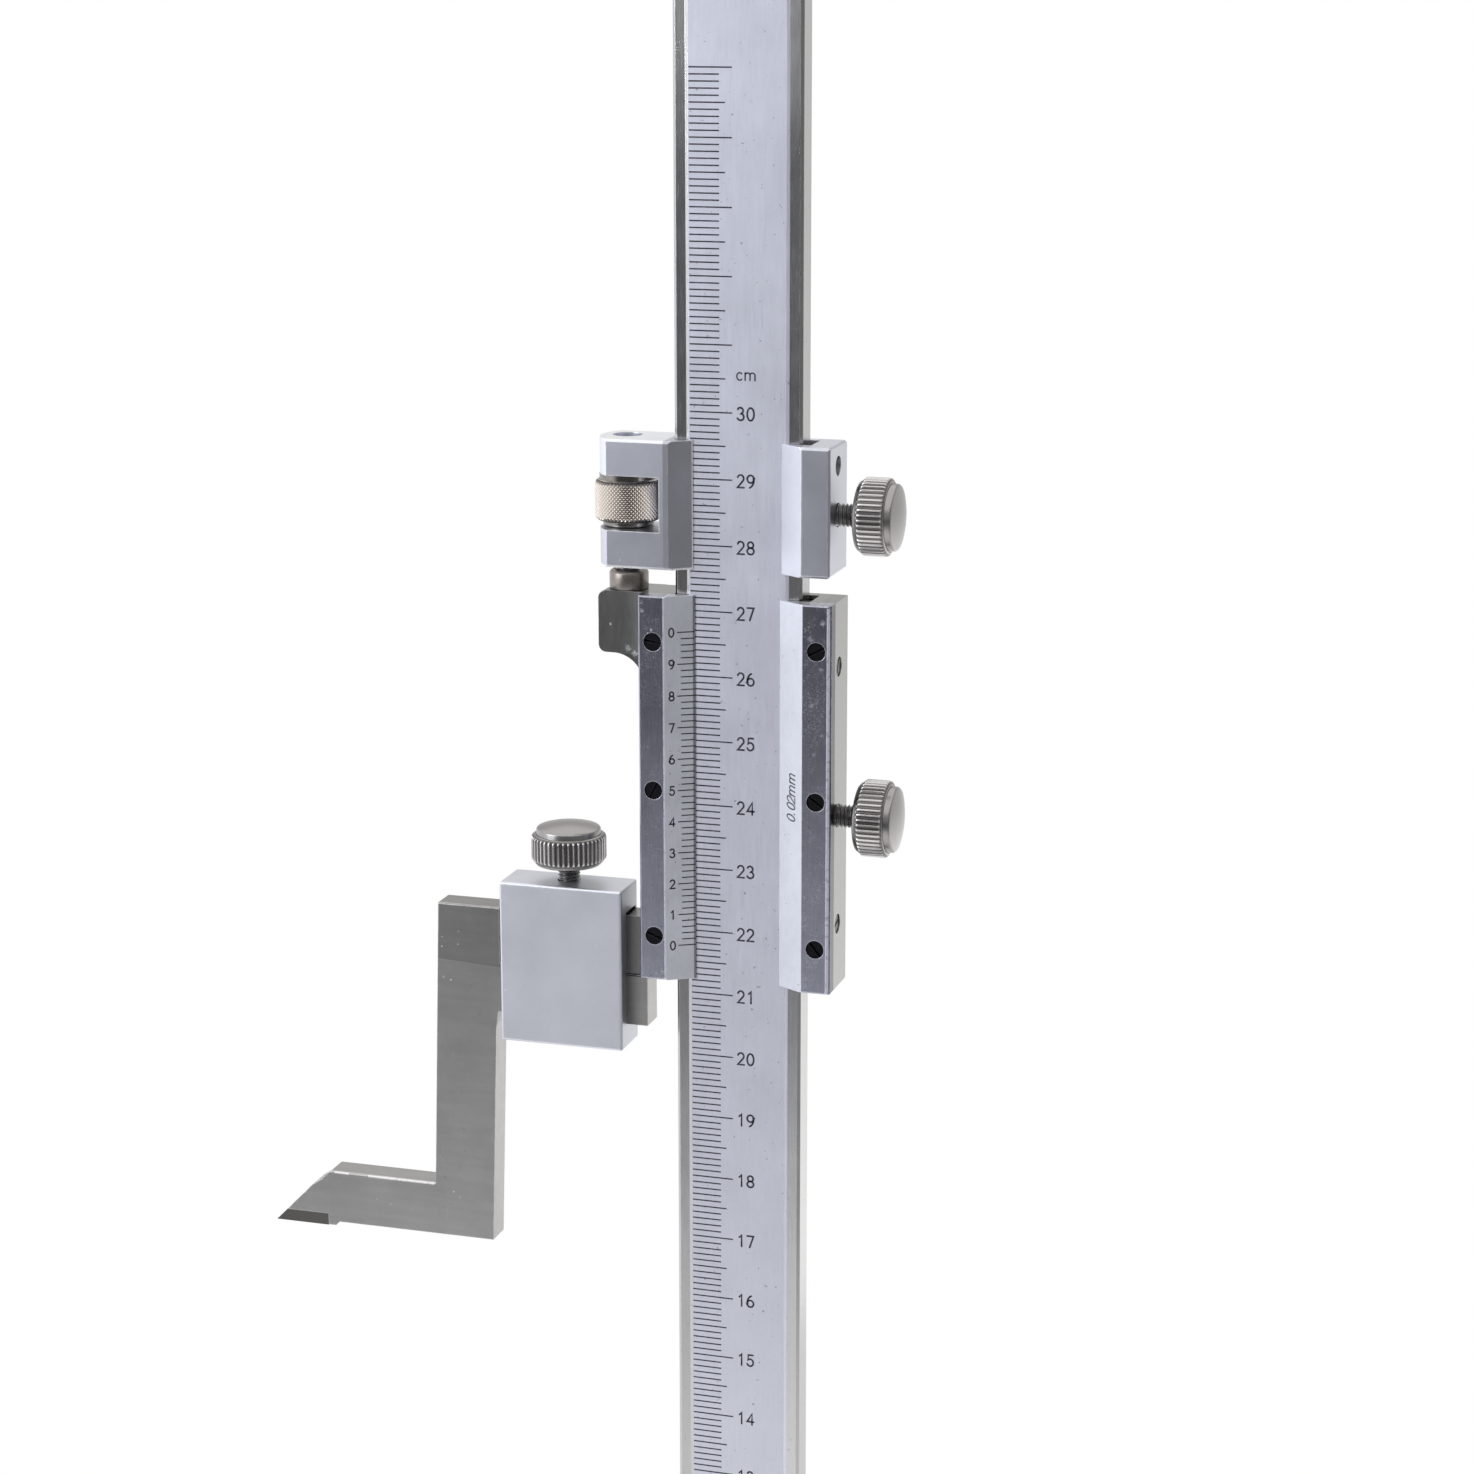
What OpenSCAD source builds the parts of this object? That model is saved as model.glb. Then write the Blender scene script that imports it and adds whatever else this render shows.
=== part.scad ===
// Vernier height gauge for a surface plate: a graduated beam on a heavy base, a slider with a
// vernier and a scriber, and a fine adjustment carriage above it.
// X runs to the viewer's right, Y runs away from the viewer and Z is up. The origin is on the
// base's underside, below the middle of the graduated land, whose face is the plane Y = 0.

/* [Setting] */
// Reading of the gauge, the height of the scriber's edge above the surface
reading = 217.82; // [0:0.02:300]

/* [Beam] */
// Width of the beam, side to side
beam_w = 19.8; // [19.2:0.1:21]
// Thickness of the beam, front to back
beam_t = 5; // [4.6:0.1:6.4]
// Height of the beam's top above the underside of the base
beam_top_z = 437; // [433:1:480]
// Width of the graduated land on the beam's front
land_w = 15; // [14.4:0.1:15.4]
// How far the two shoulders lie behind the land
land_step = 0.2; // [0.1:0.05:0.4]
// Width of the slope between the land and a shoulder
land_slope_w = 0.42; // [0.2:0.02:0.6]
// Chamfer along the beam's long edges
beam_chamfer = 0.45; // [0.2:0.05:0.8]

/* [Base] */
// Reach of the base to the left of the beam's middle
base_left = 34; // [26:1:34]
// Reach of the base to the right of the beam's middle
base_right = 62; // [50:1:90]
// Reach of the base in front of the land
base_front = 27; // [22:1:40]
// Reach of the base behind the land
base_back = 37; // [28:1:50]
// Height of the base's main block
base_h = 30; // [26:1:32]
// Radius of the base's upright corners
base_corner_r = 7; // [3:0.5:10]
// Chamfer around the top and bottom of the base
base_chamfer = 1.2; // [0.5:0.1:2]
// Height of the socket block that stands on the base round the beam
socket_h = 6; // [4:0.5:7]
// Wall of the socket block round the beam
socket_wall = 4; // [3.5:0.1:4.2]
// Thickness of the base below the beam's foot
socket_floor = 9; // [7:0.5:12]
// Height of the finger groove along the front and the back
grip_h = 12; // [8:0.5:14]
// Depth of the finger groove
grip_depth = 4.5; // [2:0.5:6]
// Length of the finger groove
grip_l = 64; // [40:1:70]
// Depth of the relief under the base
relief_depth = 1.5; // [0.8:0.1:3]
// Width of the flat rim left round the relief
relief_rim = 10; // [8:0.5:14]

/* [Slider] */
// Height of the slider and its two front plates
slider_h = 60; // [58:1:66]
// Height of the vernier's zero above the slider's bottom
vernier_up = 5.47; // [4:0.01:8]
// Thickness of the slider's left wall
left_wall = 4.9; // [4.2:0.1:6]
// Thickness of the slider's right wall
right_wall = 3.85; // [3.4:0.05:5]
// Thickness of the wall behind the beam
back_wall = 1.9; // [1.4:0.1:3]
// Thickness of the two front plates
plate_t = 2.55; // [2.2:0.05:3.2]
// Width of the sloping face on each front plate
bevel_w = 4.15; // [3.6:0.05:4.3]
// How far each plate reaches over the land
lip_over = 0.85; // [0.5:0.05:1.2]
// Thickness left at the thin edge of each lip
lip_edge_t = 0.15; // [0.1:0.05:0.3]
// Chamfer on the right edge of the right plate
plate_chamfer = 0.45; // [0.1:0.05:0.7]
// Small chamfer on the plates' and the slider's other edges
edge_break = 0.2; // [0.1:0.05:0.3]
// Distance between the screws of a plate
plate_screw_pitch = 23; // [20:0.5:24]
// Distance of the plates' screws from the slider's outer sides
plate_screw_in = 2.27; // [2:0.01:2.5]
// Distance between a gib screw and the nearest plate screw
gib_screw_in = 3; // [2.7:0.1:7]

/* [Lug and arm] */
// Reach of the lug at the slider's upper left
lug_reach = 7.15; // [6.6:0.05:8]
// Height of the lug
lug_h = 9.55; // [7.5:0.05:12]
// Radius of the lug's outer corners
lug_corner_r = 1.2; // [0.5:0.1:2]
// Radius of the hollow below the lug
lug_hollow_r = 4.8; // [2:0.1:5.5]
// Distance of the adjusting rod's axis from the slider's left side
rod_off = 3.2; // [3:0.05:3.8]
// Distance of the adjusting rod's axis behind the land
rod_y = 3; // [2.6:0.05:3.6]
// How far the arm's end stays inside the scriber box
arm_end_in = 3.1; // [3:0.1:4.8]
// Height of the arm
arm_h = 9.5; // [8:0.1:11]
// Thickness of the arm and of the scriber, front to back
arm_t = 4.6; // [3.8:0.1:5]
// How far the arm's underside lies below the slider's bottom
arm_drop = 0.45; // [0.2:0.05:1]
// Radius between the arm's top and the slider
arm_hollow_r = 1.2; // [0.5:0.1:2]

/* [Gibs] */
// Width of the gap for the gib between the beam and the right wall
gib_slot = 1.45; // [1.2:0.05:2]
// Thickness of a gib
gib_t = 1.3; // [0.9:0.05:1.3]
// How far a gib ends short of the slider's or carriage's ends
gib_short = 0.7; // [0.3:0.1:1.5]
// Distance between the gib's long edges and the channel's front and back
gib_side = 0.3; // [0.1:0.05:0.5]

/* [Carriage] */
// Height of the carriage
carriage_h = 19.4; // [18:0.1:26]
// Gap between the carriage and the slider below it
fine_gap = 4; // [3.8:0.1:8]
// Thickness of the carriage's right wall
carriage_right_wall = 3.55; // [3.2:0.05:5]
// Reach of the carriage's front face to the left of the rod
carriage_past_rod = 1.65; // [1.2:0.05:2.4]
// How far the carriage's left end bulges
carriage_bulge = 2.2; // [1.6:0.1:3]
// How far the carriage's lips reach over the land
carriage_lip_over = 0.6; // [0.3:0.05:1]
// Width of the left lip's sloping face
carriage_bevel_left = 3.1; // [2.6:0.05:3.4]
// Width of the right lip's sloping face
carriage_bevel_right = 3.6; // [3:0.05:3.8]
// Chamfer on the carriage's edges
carriage_chamfer = 0.35; // [0.1:0.05:0.5]
// Thickness of the carriage above the slot for the nut
fork_top = 5.5; // [4.5:0.1:7]
// Height of the slot for the nut
fork_h = 8.25; // [7.4:0.05:9.5]
// Reach of the slot for the nut to the right of the rod
fork_past_rod = 6.6; // [5.6:0.05:6.6]
// Distance of the carriage's gib screw below its top
carriage_screw_down = 3.2; // [2.6:0.1:4.5]

/* [Fine adjustment] */
// Diameter of the adjusting rod's thread
rod_d = 4; // [3.4:0.1:4.2]
// Pitch of the adjusting rod's thread
rod_pitch = 0.7; // [0.5:0.05:0.8]
// Length of the rod above the slider's top
rod_up = 21.6; // [20:0.1:22.5]
// Diameter of the collar on the lug
collar_d = 5.95; // [5.2:0.05:6.2]
// Height of the collar on the lug
collar_h = 2.86; // [2:0.02:2.9]
// Diameter of the pin that holds the rod in the lug
rod_pin_d = 1.5; // [1:0.1:2]
// Diameter of the nut's knurled band
nut_d = 10.2; // [9:0.1:10.2]
// Diameter of the nut's upper collar
nut_top_d = 8.7; // [7.5:0.1:8.8]
// Diameter of the nut's lower collar
nut_low_d = 7.7; // [7:0.1:8.8]
// Height of the nut's upper collar
nut_top_h = 1.05; // [0.5:0.05:1.6]
// Height of the nut's lower collar
nut_low_h = 0.8; // [0.5:0.05:1.6]
// Chamfer of the nut's knurled band
nut_chamfer = 0.7; // [0.2:0.05:0.8]

/* [Clamp screws] */
// Distance of the clamp and gib screws behind the land
clamp_y = 2.1; // [2:0.05:2.5]
// Distance of the slider's clamp screw below the slider's middle
slider_clamp_down = 3; // [3:0.1:8]
// Distance of the carriage's clamp screw below the carriage's middle
carriage_clamp_down = 0.8; // [0:0.1:1]
// Diameter of a clamp screw's thread
clamp_d = 3.5; // [2.6:0.1:3.6]
// Pitch of a clamp screw's thread
clamp_pitch = 0.6; // [0.4:0.05:0.7]
// Diameter of the plain neck next to the knob
neck_d = 2.7; // [2:0.1:2.8]
// Length of the plain neck
neck_l = 0.7; // [0.4:0.1:1.2]
// Bare length of the two side clamp screws between the wall and the knob
clamp_bare = 3.4; // [2.8:0.1:5]
// Thickness of the soft pad at the tip of a clamp screw
pad_t = 1.2; // [0.8:0.1:1.6]
// Diameter of a knob over its ribs
knob_d = 11.7; // [10.5:0.1:12.5]
// Length of a knob's ribbed band
knob_band = 3.85; // [3:0.05:5]
// Length of the chamfer at a knob's back
knob_back = 0.72; // [0.4:0.02:1]
// Length of the chamfer at a knob's front
knob_front = 0.22; // [0.1:0.02:0.5]
// Depth of the chamfers at a knob's back and front
knob_slope = 0.4; // [0.3:0.05:0.6]
// Diameter of the raised cap on a knob
cap_d = 10; // [8.6:0.1:10]
// Height of the raised cap's rim
cap_h = 0.95; // [0.5:0.05:1.5]
// Rise of the cap's domed end
dome_rise = 0.8; // [0.1:0.05:0.8]
// Number of ribs on a knob
knob_ribs = 45; // [30:1:60]
// Depth of the grooves between the ribs
rib_depth = 0.28; // [0.15:0.01:0.35]

/* [Small screws] */
// Diameter of a plate screw's head
plate_head_d = 2.8; // [2.2:0.1:3]
// Height of a plate screw's head
plate_head_h = 1.3; // [0.8:0.05:1.5]
// Diameter of a plate screw's shank
plate_shank_d = 1.6; // [1.2:0.1:1.8]
// Length of a plate screw below its head
plate_shank_l = 4; // [2.5:0.1:4.6]
// Diameter of a gib screw
gib_screw_d = 3; // [2.2:0.1:3.2]
// Diameter of the dog point at a gib screw's tip
dog_d = 1.4; // [1:0.1:1.8]
// Length of the dog point
dog_l = 0.5; // [0.3:0.05:0.7]
// Width of the screwdriver slots
slot_w = 0.45; // [0.3:0.05:0.7]
// Depth of the screwdriver slots
slot_depth = 0.6; // [0.3:0.05:0.8]
// Diameter of the screws under the beam's foot
foot_screw_d = 3; // [2.4:0.1:3.2]
// Diameter of their heads
foot_head_d = 5.5; // [4.5:0.1:6]
// Height of their heads
foot_head_h = 3; // [2:0.1:3.5]
// Distance of each foot screw from the beam's middle
foot_screw_off = 6.4; // [6.2:0.1:6.8]
// Diameter of the set screws behind the beam
back_screw_d = 3.4; // [2.6:0.1:3.5]
// Distance of each set screw from the beam's middle
back_screw_off = 5; // [3.5:0.1:6.5]

/* [Scriber clamp box] */
// Thickness of the box below the scriber
box_floor = 3.75; // [2.5:0.05:5]
// Thickness of the box above its window
box_roof = 4; // [3:0.05:5]
// Headroom between the arm and the roof of the window
box_headroom = 0.4; // [0.2:0.05:1]
// Wall of the box in front of the arm
box_front_wall = 2.4; // [1.8:0.1:3]
// Wall of the box behind the arm
box_back_wall = 1.5; // [1.2:0.1:3]
// Length of the box along the arm
box_l = 20; // [17:0.05:20.6]
// Gap between the box and the slider
box_gap = 3.15; // [3:0.05:3.5]
// Bare length of the box's clamp screw between the box and its knob
box_bare = 2.7; // [1.5:0.1:4]
// Radius of the box's front edges
box_r = 0.4; // [0.3:0.05:1.2]
// Chamfer of the box's back edges
box_back_chamfer = 1; // [0.4:0.1:1.2]

/* [Scriber] */
// Depth of the scriber's edge below the arm
scriber_drop = 47.38; // [45:0.01:52]
// Height of the scriber's shank
shank_h = 8.1; // [7:0.1:10]
// How far the shank sticks out of the box towards the beam
tail = 3.4; // [1:0.1:3.6]
// Gap between the box and the scriber's leg
leg_gap = 0.95; // [0.9:0.05:2.5]
// Width of the scriber's leg below the shank
leg_w = 10; // [8:0.1:12]
// How much wider the leg is beside the box
leg_wider = 0.2; // [0:0.05:0.6]
// Height of the leg's top above the shank
leg_top = 9; // [4:0.1:11]
// Lean of the leg away from the beam, in degrees
leg_lean = 1.83; // [0:0.01:2.5]
// Height of the foot
foot_h = 8.65; // [6:0.05:12]
// Length of the foot's top from the leg to the nose
foot_l = 18.25; // [12:0.05:24]
// Length of the sloping nose
nose_l = 9.8; // [7:0.1:13]
// Height of the foot's underside above the scribing edge
foot_rise = 0.75; // [0.3:0.05:1.5]
// Length of the carbide tip
tip_l = 9.15; // [7:0.05:11]
// Height of the carbide tip
tip_h = 1.95; // [1.2:0.05:2.5]
// Length of the heel behind the carbide tip
heel_l = 1.3; // [0.8:0.1:2.5]
// Height of the heel above the scribing edge
heel_up = 0.08; // [0.04:0.02:0.2]
// Width of the small slope in the corner below the shank
shank_slope_w = 0.3; // [0.1:0.05:0.8]
// Height of the small slope in the corner below the shank
shank_slope_h = 3.2; // [1:0.1:5]
// Chamfer along the scriber's upper edges
scriber_chamfer = 0.22; // [0.1:0.02:0.4]

/* [Hidden] */
$fn = 64;

// Running clearance between sliding pieces
running = 0.05;
// Clearance between pieces that stay together
seat = 0.02;
// Overrun of every cut
over = 1;

// Main planes across the beam
beam_half = beam_w / 2;
channel_left = -beam_half - running;
channel_right = beam_half + gib_slot;
channel_back = beam_t + running;
slider_left = channel_left - left_wall;
slider_right = channel_right + right_wall;
carriage_right = channel_right + carriage_right_wall;
body_front = -running;
face_front = body_front - plate_t;
body_back = channel_back + back_wall;

// Heights of the slider, the arm and the carriage
scale_zero_z = vernier_up + arm_drop + seat + scriber_drop;
vernier_zero_z = scale_zero_z + reading;
slider_z = vernier_zero_z - vernier_up;
slider_top = slider_z + slider_h;
slider_mid = slider_z + slider_h / 2;
arm_z = slider_z - arm_drop;
arm_top = arm_z + arm_h;
carriage_z = slider_top + fine_gap;
carriage_top = carriage_z + carriage_h;
fork_z = carriage_top - fork_top - fork_h;
rod_x = slider_left - rod_off;
carriage_left = rod_x - carriage_past_rod;
carriage_end_x = carriage_left - carriage_bulge;
vernier_screw_x = slider_left + plate_screw_in;
retaining_screw_x = slider_right - plate_screw_in;
ridge_x = land_w / 2 - lip_over + bevel_w;
gib_screw_zs = [
    slider_mid - plate_screw_pitch + gib_screw_in,
    slider_mid + plate_screw_pitch - gib_screw_in
];
slider_clamp_z = slider_mid - slider_clamp_down;
carriage_clamp_z = carriage_z + carriage_h / 2 - carriage_clamp_down;
carriage_screw_z = carriage_top - carriage_screw_down;

// Base and socket
socket_top = base_h + socket_h;
socket_left = -beam_half - socket_wall;
socket_front = -socket_wall;
socket_back = beam_t + seat + socket_wall;
back_screw_z = base_h + socket_h / 2;
foot_screw_y = beam_t / 2;
foot_shank_l = socket_floor + foot_head_h;

// Gib
gib_x = beam_half + running;
gib_out = gib_x + gib_t;

// Scriber box
arm_y = 0;
arm_back = arm_y + arm_t;
box_right = slider_left - box_gap;
box_left = box_right - box_l;
box_mid = (box_left + box_right) / 2;
arm_left = box_left + arm_end_in;
window_front = arm_y - running;
window_back = arm_back + running;
box_front = window_front - box_front_wall;
box_back = window_back + box_back_wall;
shank_top = arm_z - seat;
shank_z = shank_top - shank_h;
window_z = shank_z - seat;
window_top = arm_top + box_headroom;
box_z = window_z - box_floor;
box_top = window_top + box_roof;

// Scriber
edge_z = arm_z - seat - scriber_drop;
foot_z = edge_z + foot_rise;
foot_top = foot_z + foot_h;
leg_right = box_left - leg_gap;
leg_low_right = leg_right - leg_wider;
leg_left = leg_low_right - leg_w;
leg_z = shank_top + leg_top;
tip_x = leg_left - lean_at(foot_top) - foot_l - nose_l;
heel_x = tip_x + tip_l + heel_l;
// Corners of the nose between the foot's top and the tip, as shares of its length and height
nose_shares = [[0, 1], [0.17, 0.83], [0.33, 0.72]];

// Knob
knob_r = knob_d / 2;
root_r = knob_r - rib_depth;
knob_bore_l = knob_back + knob_band;
rim_h = knob_front + cap_h;
// Place of a rib's crest and root corners, as shares of one rib's spacing
rib_shares = [0, 0.3, 0.48, 0.82];
// Height of a cap's dome half way out, as a share of its rise
dome_share = 0.75;
// Depth of a thread's groove, as a share of its pitch
thread_share = 0.55;
// Chamfer at a screw's end, as a share of its diameter
tip_share = 0.12;
// Depth of a hexagon socket in its screw, and its width in a set screw, as shares
hex_share = 0.5;
// Diameter of the pin hole through the rod, and of the tapped holes, beside their screws
clamp_hole_r = clamp_d / 2 + running;
gib_hole_r = gib_screw_d / 2 + seat;
rod_hole_r = rod_d / 2 + running;
rod_foot = slider_top - lug_h + lug_corner_r;
rod_pin_z = slider_top - lug_h / 2;
rod_pin_l = lug_reach - 2 * seat;

// How far the leaning leg has moved left at height z
function lean_at(z) = (leg_z - z) * tan(leg_lean);

// Corners of a ribbed outline
function ribs(n, crest, root) = [
    for (i = [0 : n - 1])
        for (k = [0 : len(rib_shares) - 1])
            let (a = 360 * (i + rib_shares[k]) / n, r = k < 2 ? crest : root)
            [r * cos(a), r * sin(a)]
];

// Outline of a screw thread made of rings, from height 0 to l
function thread_points(d, pitch, l) = let (n = max(1, floor(l / pitch)), p = l / n)
    concat(
        [[0, 0], [d / 2 - thread_share * pitch, 0]],
        [for (i = [0 : n - 1]) each [
            [d / 2, (i + 0.5) * p],
            [d / 2 - thread_share * pitch, (i + 1) * p]
        ]],
        [[0, l]]
    );

module thread(d, pitch, l) {
    rotate_extrude()
        polygon(thread_points(d, pitch, l));
}

// Turns a shape built along +Z so that it points along +X
module along_x() {
    rotate([0, 90, 0])
        children();
}

// Turns a shape built along +Z so that it points along -Y, towards the viewer
module along_front() {
    rotate([90, 0, 0])
        children();
}

// Extrudes an outline drawn in X and Z from y0 back to y1
module upright(y0, y1) {
    translate([0, y1, 0])
        rotate([90, 0, 0])
            linear_extrude(y1 - y0)
                children();
}

// Extrudes an outline drawn in Y and Z from x0 to x1
module sideways(x0, x1) {
    translate([x0, 0, 0])
        rotate([90, 0, 90])
            linear_extrude(x1 - x0)
                children();
}

// Rectangle with cut corners, from its low corner to its high corner
module cut_rect(lo, hi, c) {
    polygon([
        [lo[0] + c, lo[1]], [hi[0] - c, lo[1]], [hi[0], lo[1] + c], [hi[0], hi[1] - c],
        [hi[0] - c, hi[1]], [lo[0] + c, hi[1]], [lo[0], hi[1] - c], [lo[0], lo[1] + c]
    ]);
}

// Rectangle with round corners, from its low corner to its high corner
module round_rect(lo, hi, r) {
    translate([lo[0] + r, lo[1]])
        square([hi[0] - lo[0] - 2 * r, hi[1] - lo[1]]);
    translate([lo[0], lo[1] + r])
        square([hi[0] - lo[0], hi[1] - lo[1] - 2 * r]);
    for (x = [lo[0] + r, hi[0] - r])
        for (y = [lo[1] + r, hi[1] - r])
            translate([x, y])
                circle(r);
}

// Block between two corners
module block(lo, hi) {
    translate(lo)
        cube(hi - lo);
}

// Base: heavy block with finger grooves, a relief below and a socket for the beam
module base() {
    color("lightslategray")
    difference() {
        union() {
            intersection() {
                linear_extrude(base_h)
                    round_rect([-base_left, -base_front], [base_right, base_back], base_corner_r);
                upright(-base_front, base_back)
                    cut_rect([-base_left, 0], [base_right, base_h], base_chamfer);
                sideways(-base_left, base_right)
                    cut_rect([-base_front, 0], [base_back, base_h], base_chamfer);
            }
            intersection() {
                block(
                    [socket_left, socket_front, base_h - over],
                    [-socket_left, socket_back, socket_top]
                );
                upright(socket_front, socket_back)
                    cut_rect(
                        [socket_left, base_h - over - base_chamfer],
                        [-socket_left, socket_top],
                        base_chamfer
                    );
            }
        }
        beam_socket();
        foot_screw_holes();
        for (x = [-back_screw_off, back_screw_off])
            translate([x, socket_back + over, back_screw_z])
                along_front()
                    cylinder(h = socket_wall + 2 * over, d = back_screw_d + 2 * seat);
        grip(-base_front);
        grip(base_back);
        block(
            [beam_half + relief_rim, -base_front + relief_rim, -over],
            [base_right - relief_rim, base_back - relief_rim, relief_depth]
        );
    }
}

// Pocket for the beam's foot
module beam_socket() {
    block(
        [-beam_half - seat, -seat, socket_floor],
        [beam_half + seat, beam_t + seat, socket_top + over]
    );
}

// Stepped holes for the screws under the beam's foot
module foot_screw_holes() {
    for (x = [-foot_screw_off, foot_screw_off])
        translate([x, foot_screw_y, -over]) {
            cylinder(h = socket_floor + 2 * over, d = foot_screw_d + 2 * seat);
            cylinder(h = over + foot_head_h + relief_depth, d = foot_head_d + 2 * seat);
        }
}

// Finger groove with round ends, centred along the base at the face y
module grip(y) {
    x0 = (base_right - base_left - grip_l) / 2;
    upright(y - grip_depth, y + grip_depth)
        slot_outline(x0, x0 + grip_l, base_h / 2, grip_h);
}

// Outline of a slot with round ends
module slot_outline(x0, x1, z, h) {
    translate([x0 + h / 2, z - h / 2])
        square([x1 - x0 - h, h]);
    for (x = [x0 + h / 2, x1 - h / 2])
        translate([x, z])
            circle(h / 2);
}

// Screws that draw the beam's foot down into the base
module foot_screws() {
    color("dimgray")
    for (x = [-foot_screw_off, foot_screw_off])
        translate([x, foot_screw_y, relief_depth])
            difference() {
                union() {
                    cylinder(h = foot_head_h, d = foot_head_d);
                    cylinder(h = foot_shank_l, d = foot_screw_d);
                }
                translate([0, 0, -over])
                    cylinder(h = over + hex_share * foot_head_h, d = foot_screw_d, $fn = 6);
            }
}

// Set screws that press the beam against the front of its socket
module beam_set_screws() {
    color("dimgray")
    for (x = [-back_screw_off, back_screw_off])
        translate([x, socket_back, back_screw_z])
            along_front()
                difference() {
                    cylinder(h = socket_wall, d = back_screw_d);
                    translate([0, 0, -over])
                        cylinder(
                            h = over + hex_share * socket_wall,
                            d = hex_share * back_screw_d,
                            $fn = 6
                        );
                }
}

// Beam: a flat bar with a raised land for the scale
module beam() {
    half_land = land_w / 2;
    color("gainsboro")
    difference() {
        translate([0, 0, socket_floor])
            linear_extrude(beam_top_z - socket_floor)
                polygon([
                    [-half_land, 0],
                    [half_land, 0],
                    [half_land + land_slope_w, land_step],
                    [beam_half - beam_chamfer, land_step],
                    [beam_half, land_step + beam_chamfer],
                    [beam_half, beam_t - beam_chamfer],
                    [beam_half - beam_chamfer, beam_t],
                    [-beam_half + beam_chamfer, beam_t],
                    [-beam_half, beam_t - beam_chamfer],
                    [-beam_half, land_step + beam_chamfer],
                    [-beam_half + beam_chamfer, land_step],
                    [-half_land - land_slope_w, land_step]
                ]);
        for (x = [-foot_screw_off, foot_screw_off])
            translate([x, foot_screw_y, socket_floor - over])
                cylinder(
                    h = over + foot_shank_l + relief_depth - socket_floor + seat,
                    d = foot_screw_d + 2 * seat
                );
    }
}

// Section of the slider's channel, open at the front between the walls
module slider_section() {
    polygon([
        [slider_left, body_front], [channel_left, body_front], [channel_left, channel_back],
        [channel_right, channel_back], [channel_right, body_front],
        [slider_right, body_front], [slider_right, body_back], [slider_left, body_back]
    ]);
}

// Section of a lip that slopes down to the land, in the mirrored right-hand sense
module lip_section(outer, ridge, edge, chamfer) {
    polygon([
        [edge, body_front], [outer, body_front], [outer, face_front + chamfer],
        [outer - chamfer, face_front], [ridge, face_front], [edge, body_front - lip_edge_t]
    ]);
}

// Slider: channel round the beam with a lug for the rod and an arm for the scriber
module slider_body() {
    color("slategray")
    difference() {
        union() {
            intersection() {
                translate([0, 0, slider_z])
                    linear_extrude(slider_h)
                        slider_section();
                sideways(slider_left, slider_right)
                    polygon([
                        [body_front, slider_z],
                        [body_back - edge_break, slider_z],
                        [body_back, slider_z + edge_break],
                        [body_back, slider_top - edge_break],
                        [body_back - edge_break, slider_top],
                        [body_front, slider_top]
                    ]);
            }
            lug();
            arm();
        }
        for (x = [vernier_screw_x, retaining_screw_x])
            plate_screw_places(x)
                cylinder(h = plate_shank_l + over, d = plate_shank_d + 2 * seat);
        for (z = gib_screw_zs)
            side_hole(z, gib_hole_r);
        side_hole(slider_clamp_z, clamp_hole_r);
        translate([rod_x, rod_y, rod_foot - seat])
            cylinder(h = lug_h, r = rod_d / 2 + seat);
        translate([slider_left - lug_reach - over, rod_y, rod_pin_z])
            along_x()
                cylinder(h = rod_pin_l + over + 2 * seat, d = rod_pin_d + 2 * seat);
    }
}

// Hole through the right wall at height z
module side_hole(z, r) {
    translate([channel_right - over, clamp_y, z])
        along_x()
            cylinder(h = right_wall + 2 * over, r = r);
}

// Lug at the slider's upper left, with a hollow below it
module lug() {
    left = slider_left - lug_reach;
    bottom = slider_top - lug_h;
    wall = slider_left + left_wall / 2;
    upright(body_front + seat, body_back)
        difference() {
            union() {
                round_rect([left, bottom], [wall, slider_top], lug_corner_r);
                translate([slider_left - lug_hollow_r, bottom - lug_hollow_r])
                    square([lug_hollow_r + left_wall / 2, lug_hollow_r + lug_corner_r]);
            }
            translate([slider_left - lug_hollow_r, bottom - lug_hollow_r])
                circle(lug_hollow_r);
        }
}

// Arm at the slider's lower left
module arm() {
    wall = slider_left + left_wall / 2;
    upright(arm_y, arm_back)
        difference() {
            union() {
                cut_rect([arm_left, arm_z], [wall, arm_top], edge_break);
                translate([slider_left - arm_hollow_r, arm_top - edge_break])
                    square([arm_hollow_r + left_wall / 2, arm_hollow_r + edge_break]);
            }
            translate([slider_left - arm_hollow_r, arm_top + arm_hollow_r])
                circle(arm_hollow_r);
        }
}

// Puts a shape at each screw of a front plate, pointing into the slider from its front
module plate_screw_places(x) {
    for (i = [-1, 0, 1])
        translate([x, body_front - over, slider_mid + i * plate_screw_pitch])
            rotate([-90, 0, 0])
                children();
}

// Cuts the small chamfers on the ends of a front plate
module plate_ends() {
    sideways(slider_left - over, slider_right + over)
        polygon([
            [body_front, slider_z],
            [face_front + edge_break, slider_z],
            [face_front, slider_z + edge_break],
            [face_front, slider_top - edge_break],
            [face_front + edge_break, slider_top],
            [body_front, slider_top]
        ]);
}

// Stepped holes for a plate's three screws
module plate_holes(x) {
    plate_screw_places(x)
        translate([0, 0, -plate_t])
            cylinder(h = plate_t + 2 * over, d = plate_shank_d + 2 * seat);
    plate_screw_places(x)
        translate([0, 0, -plate_t])
            cylinder(h = over + plate_head_h + edge_break, d = plate_head_d + 2 * seat);
}

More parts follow.
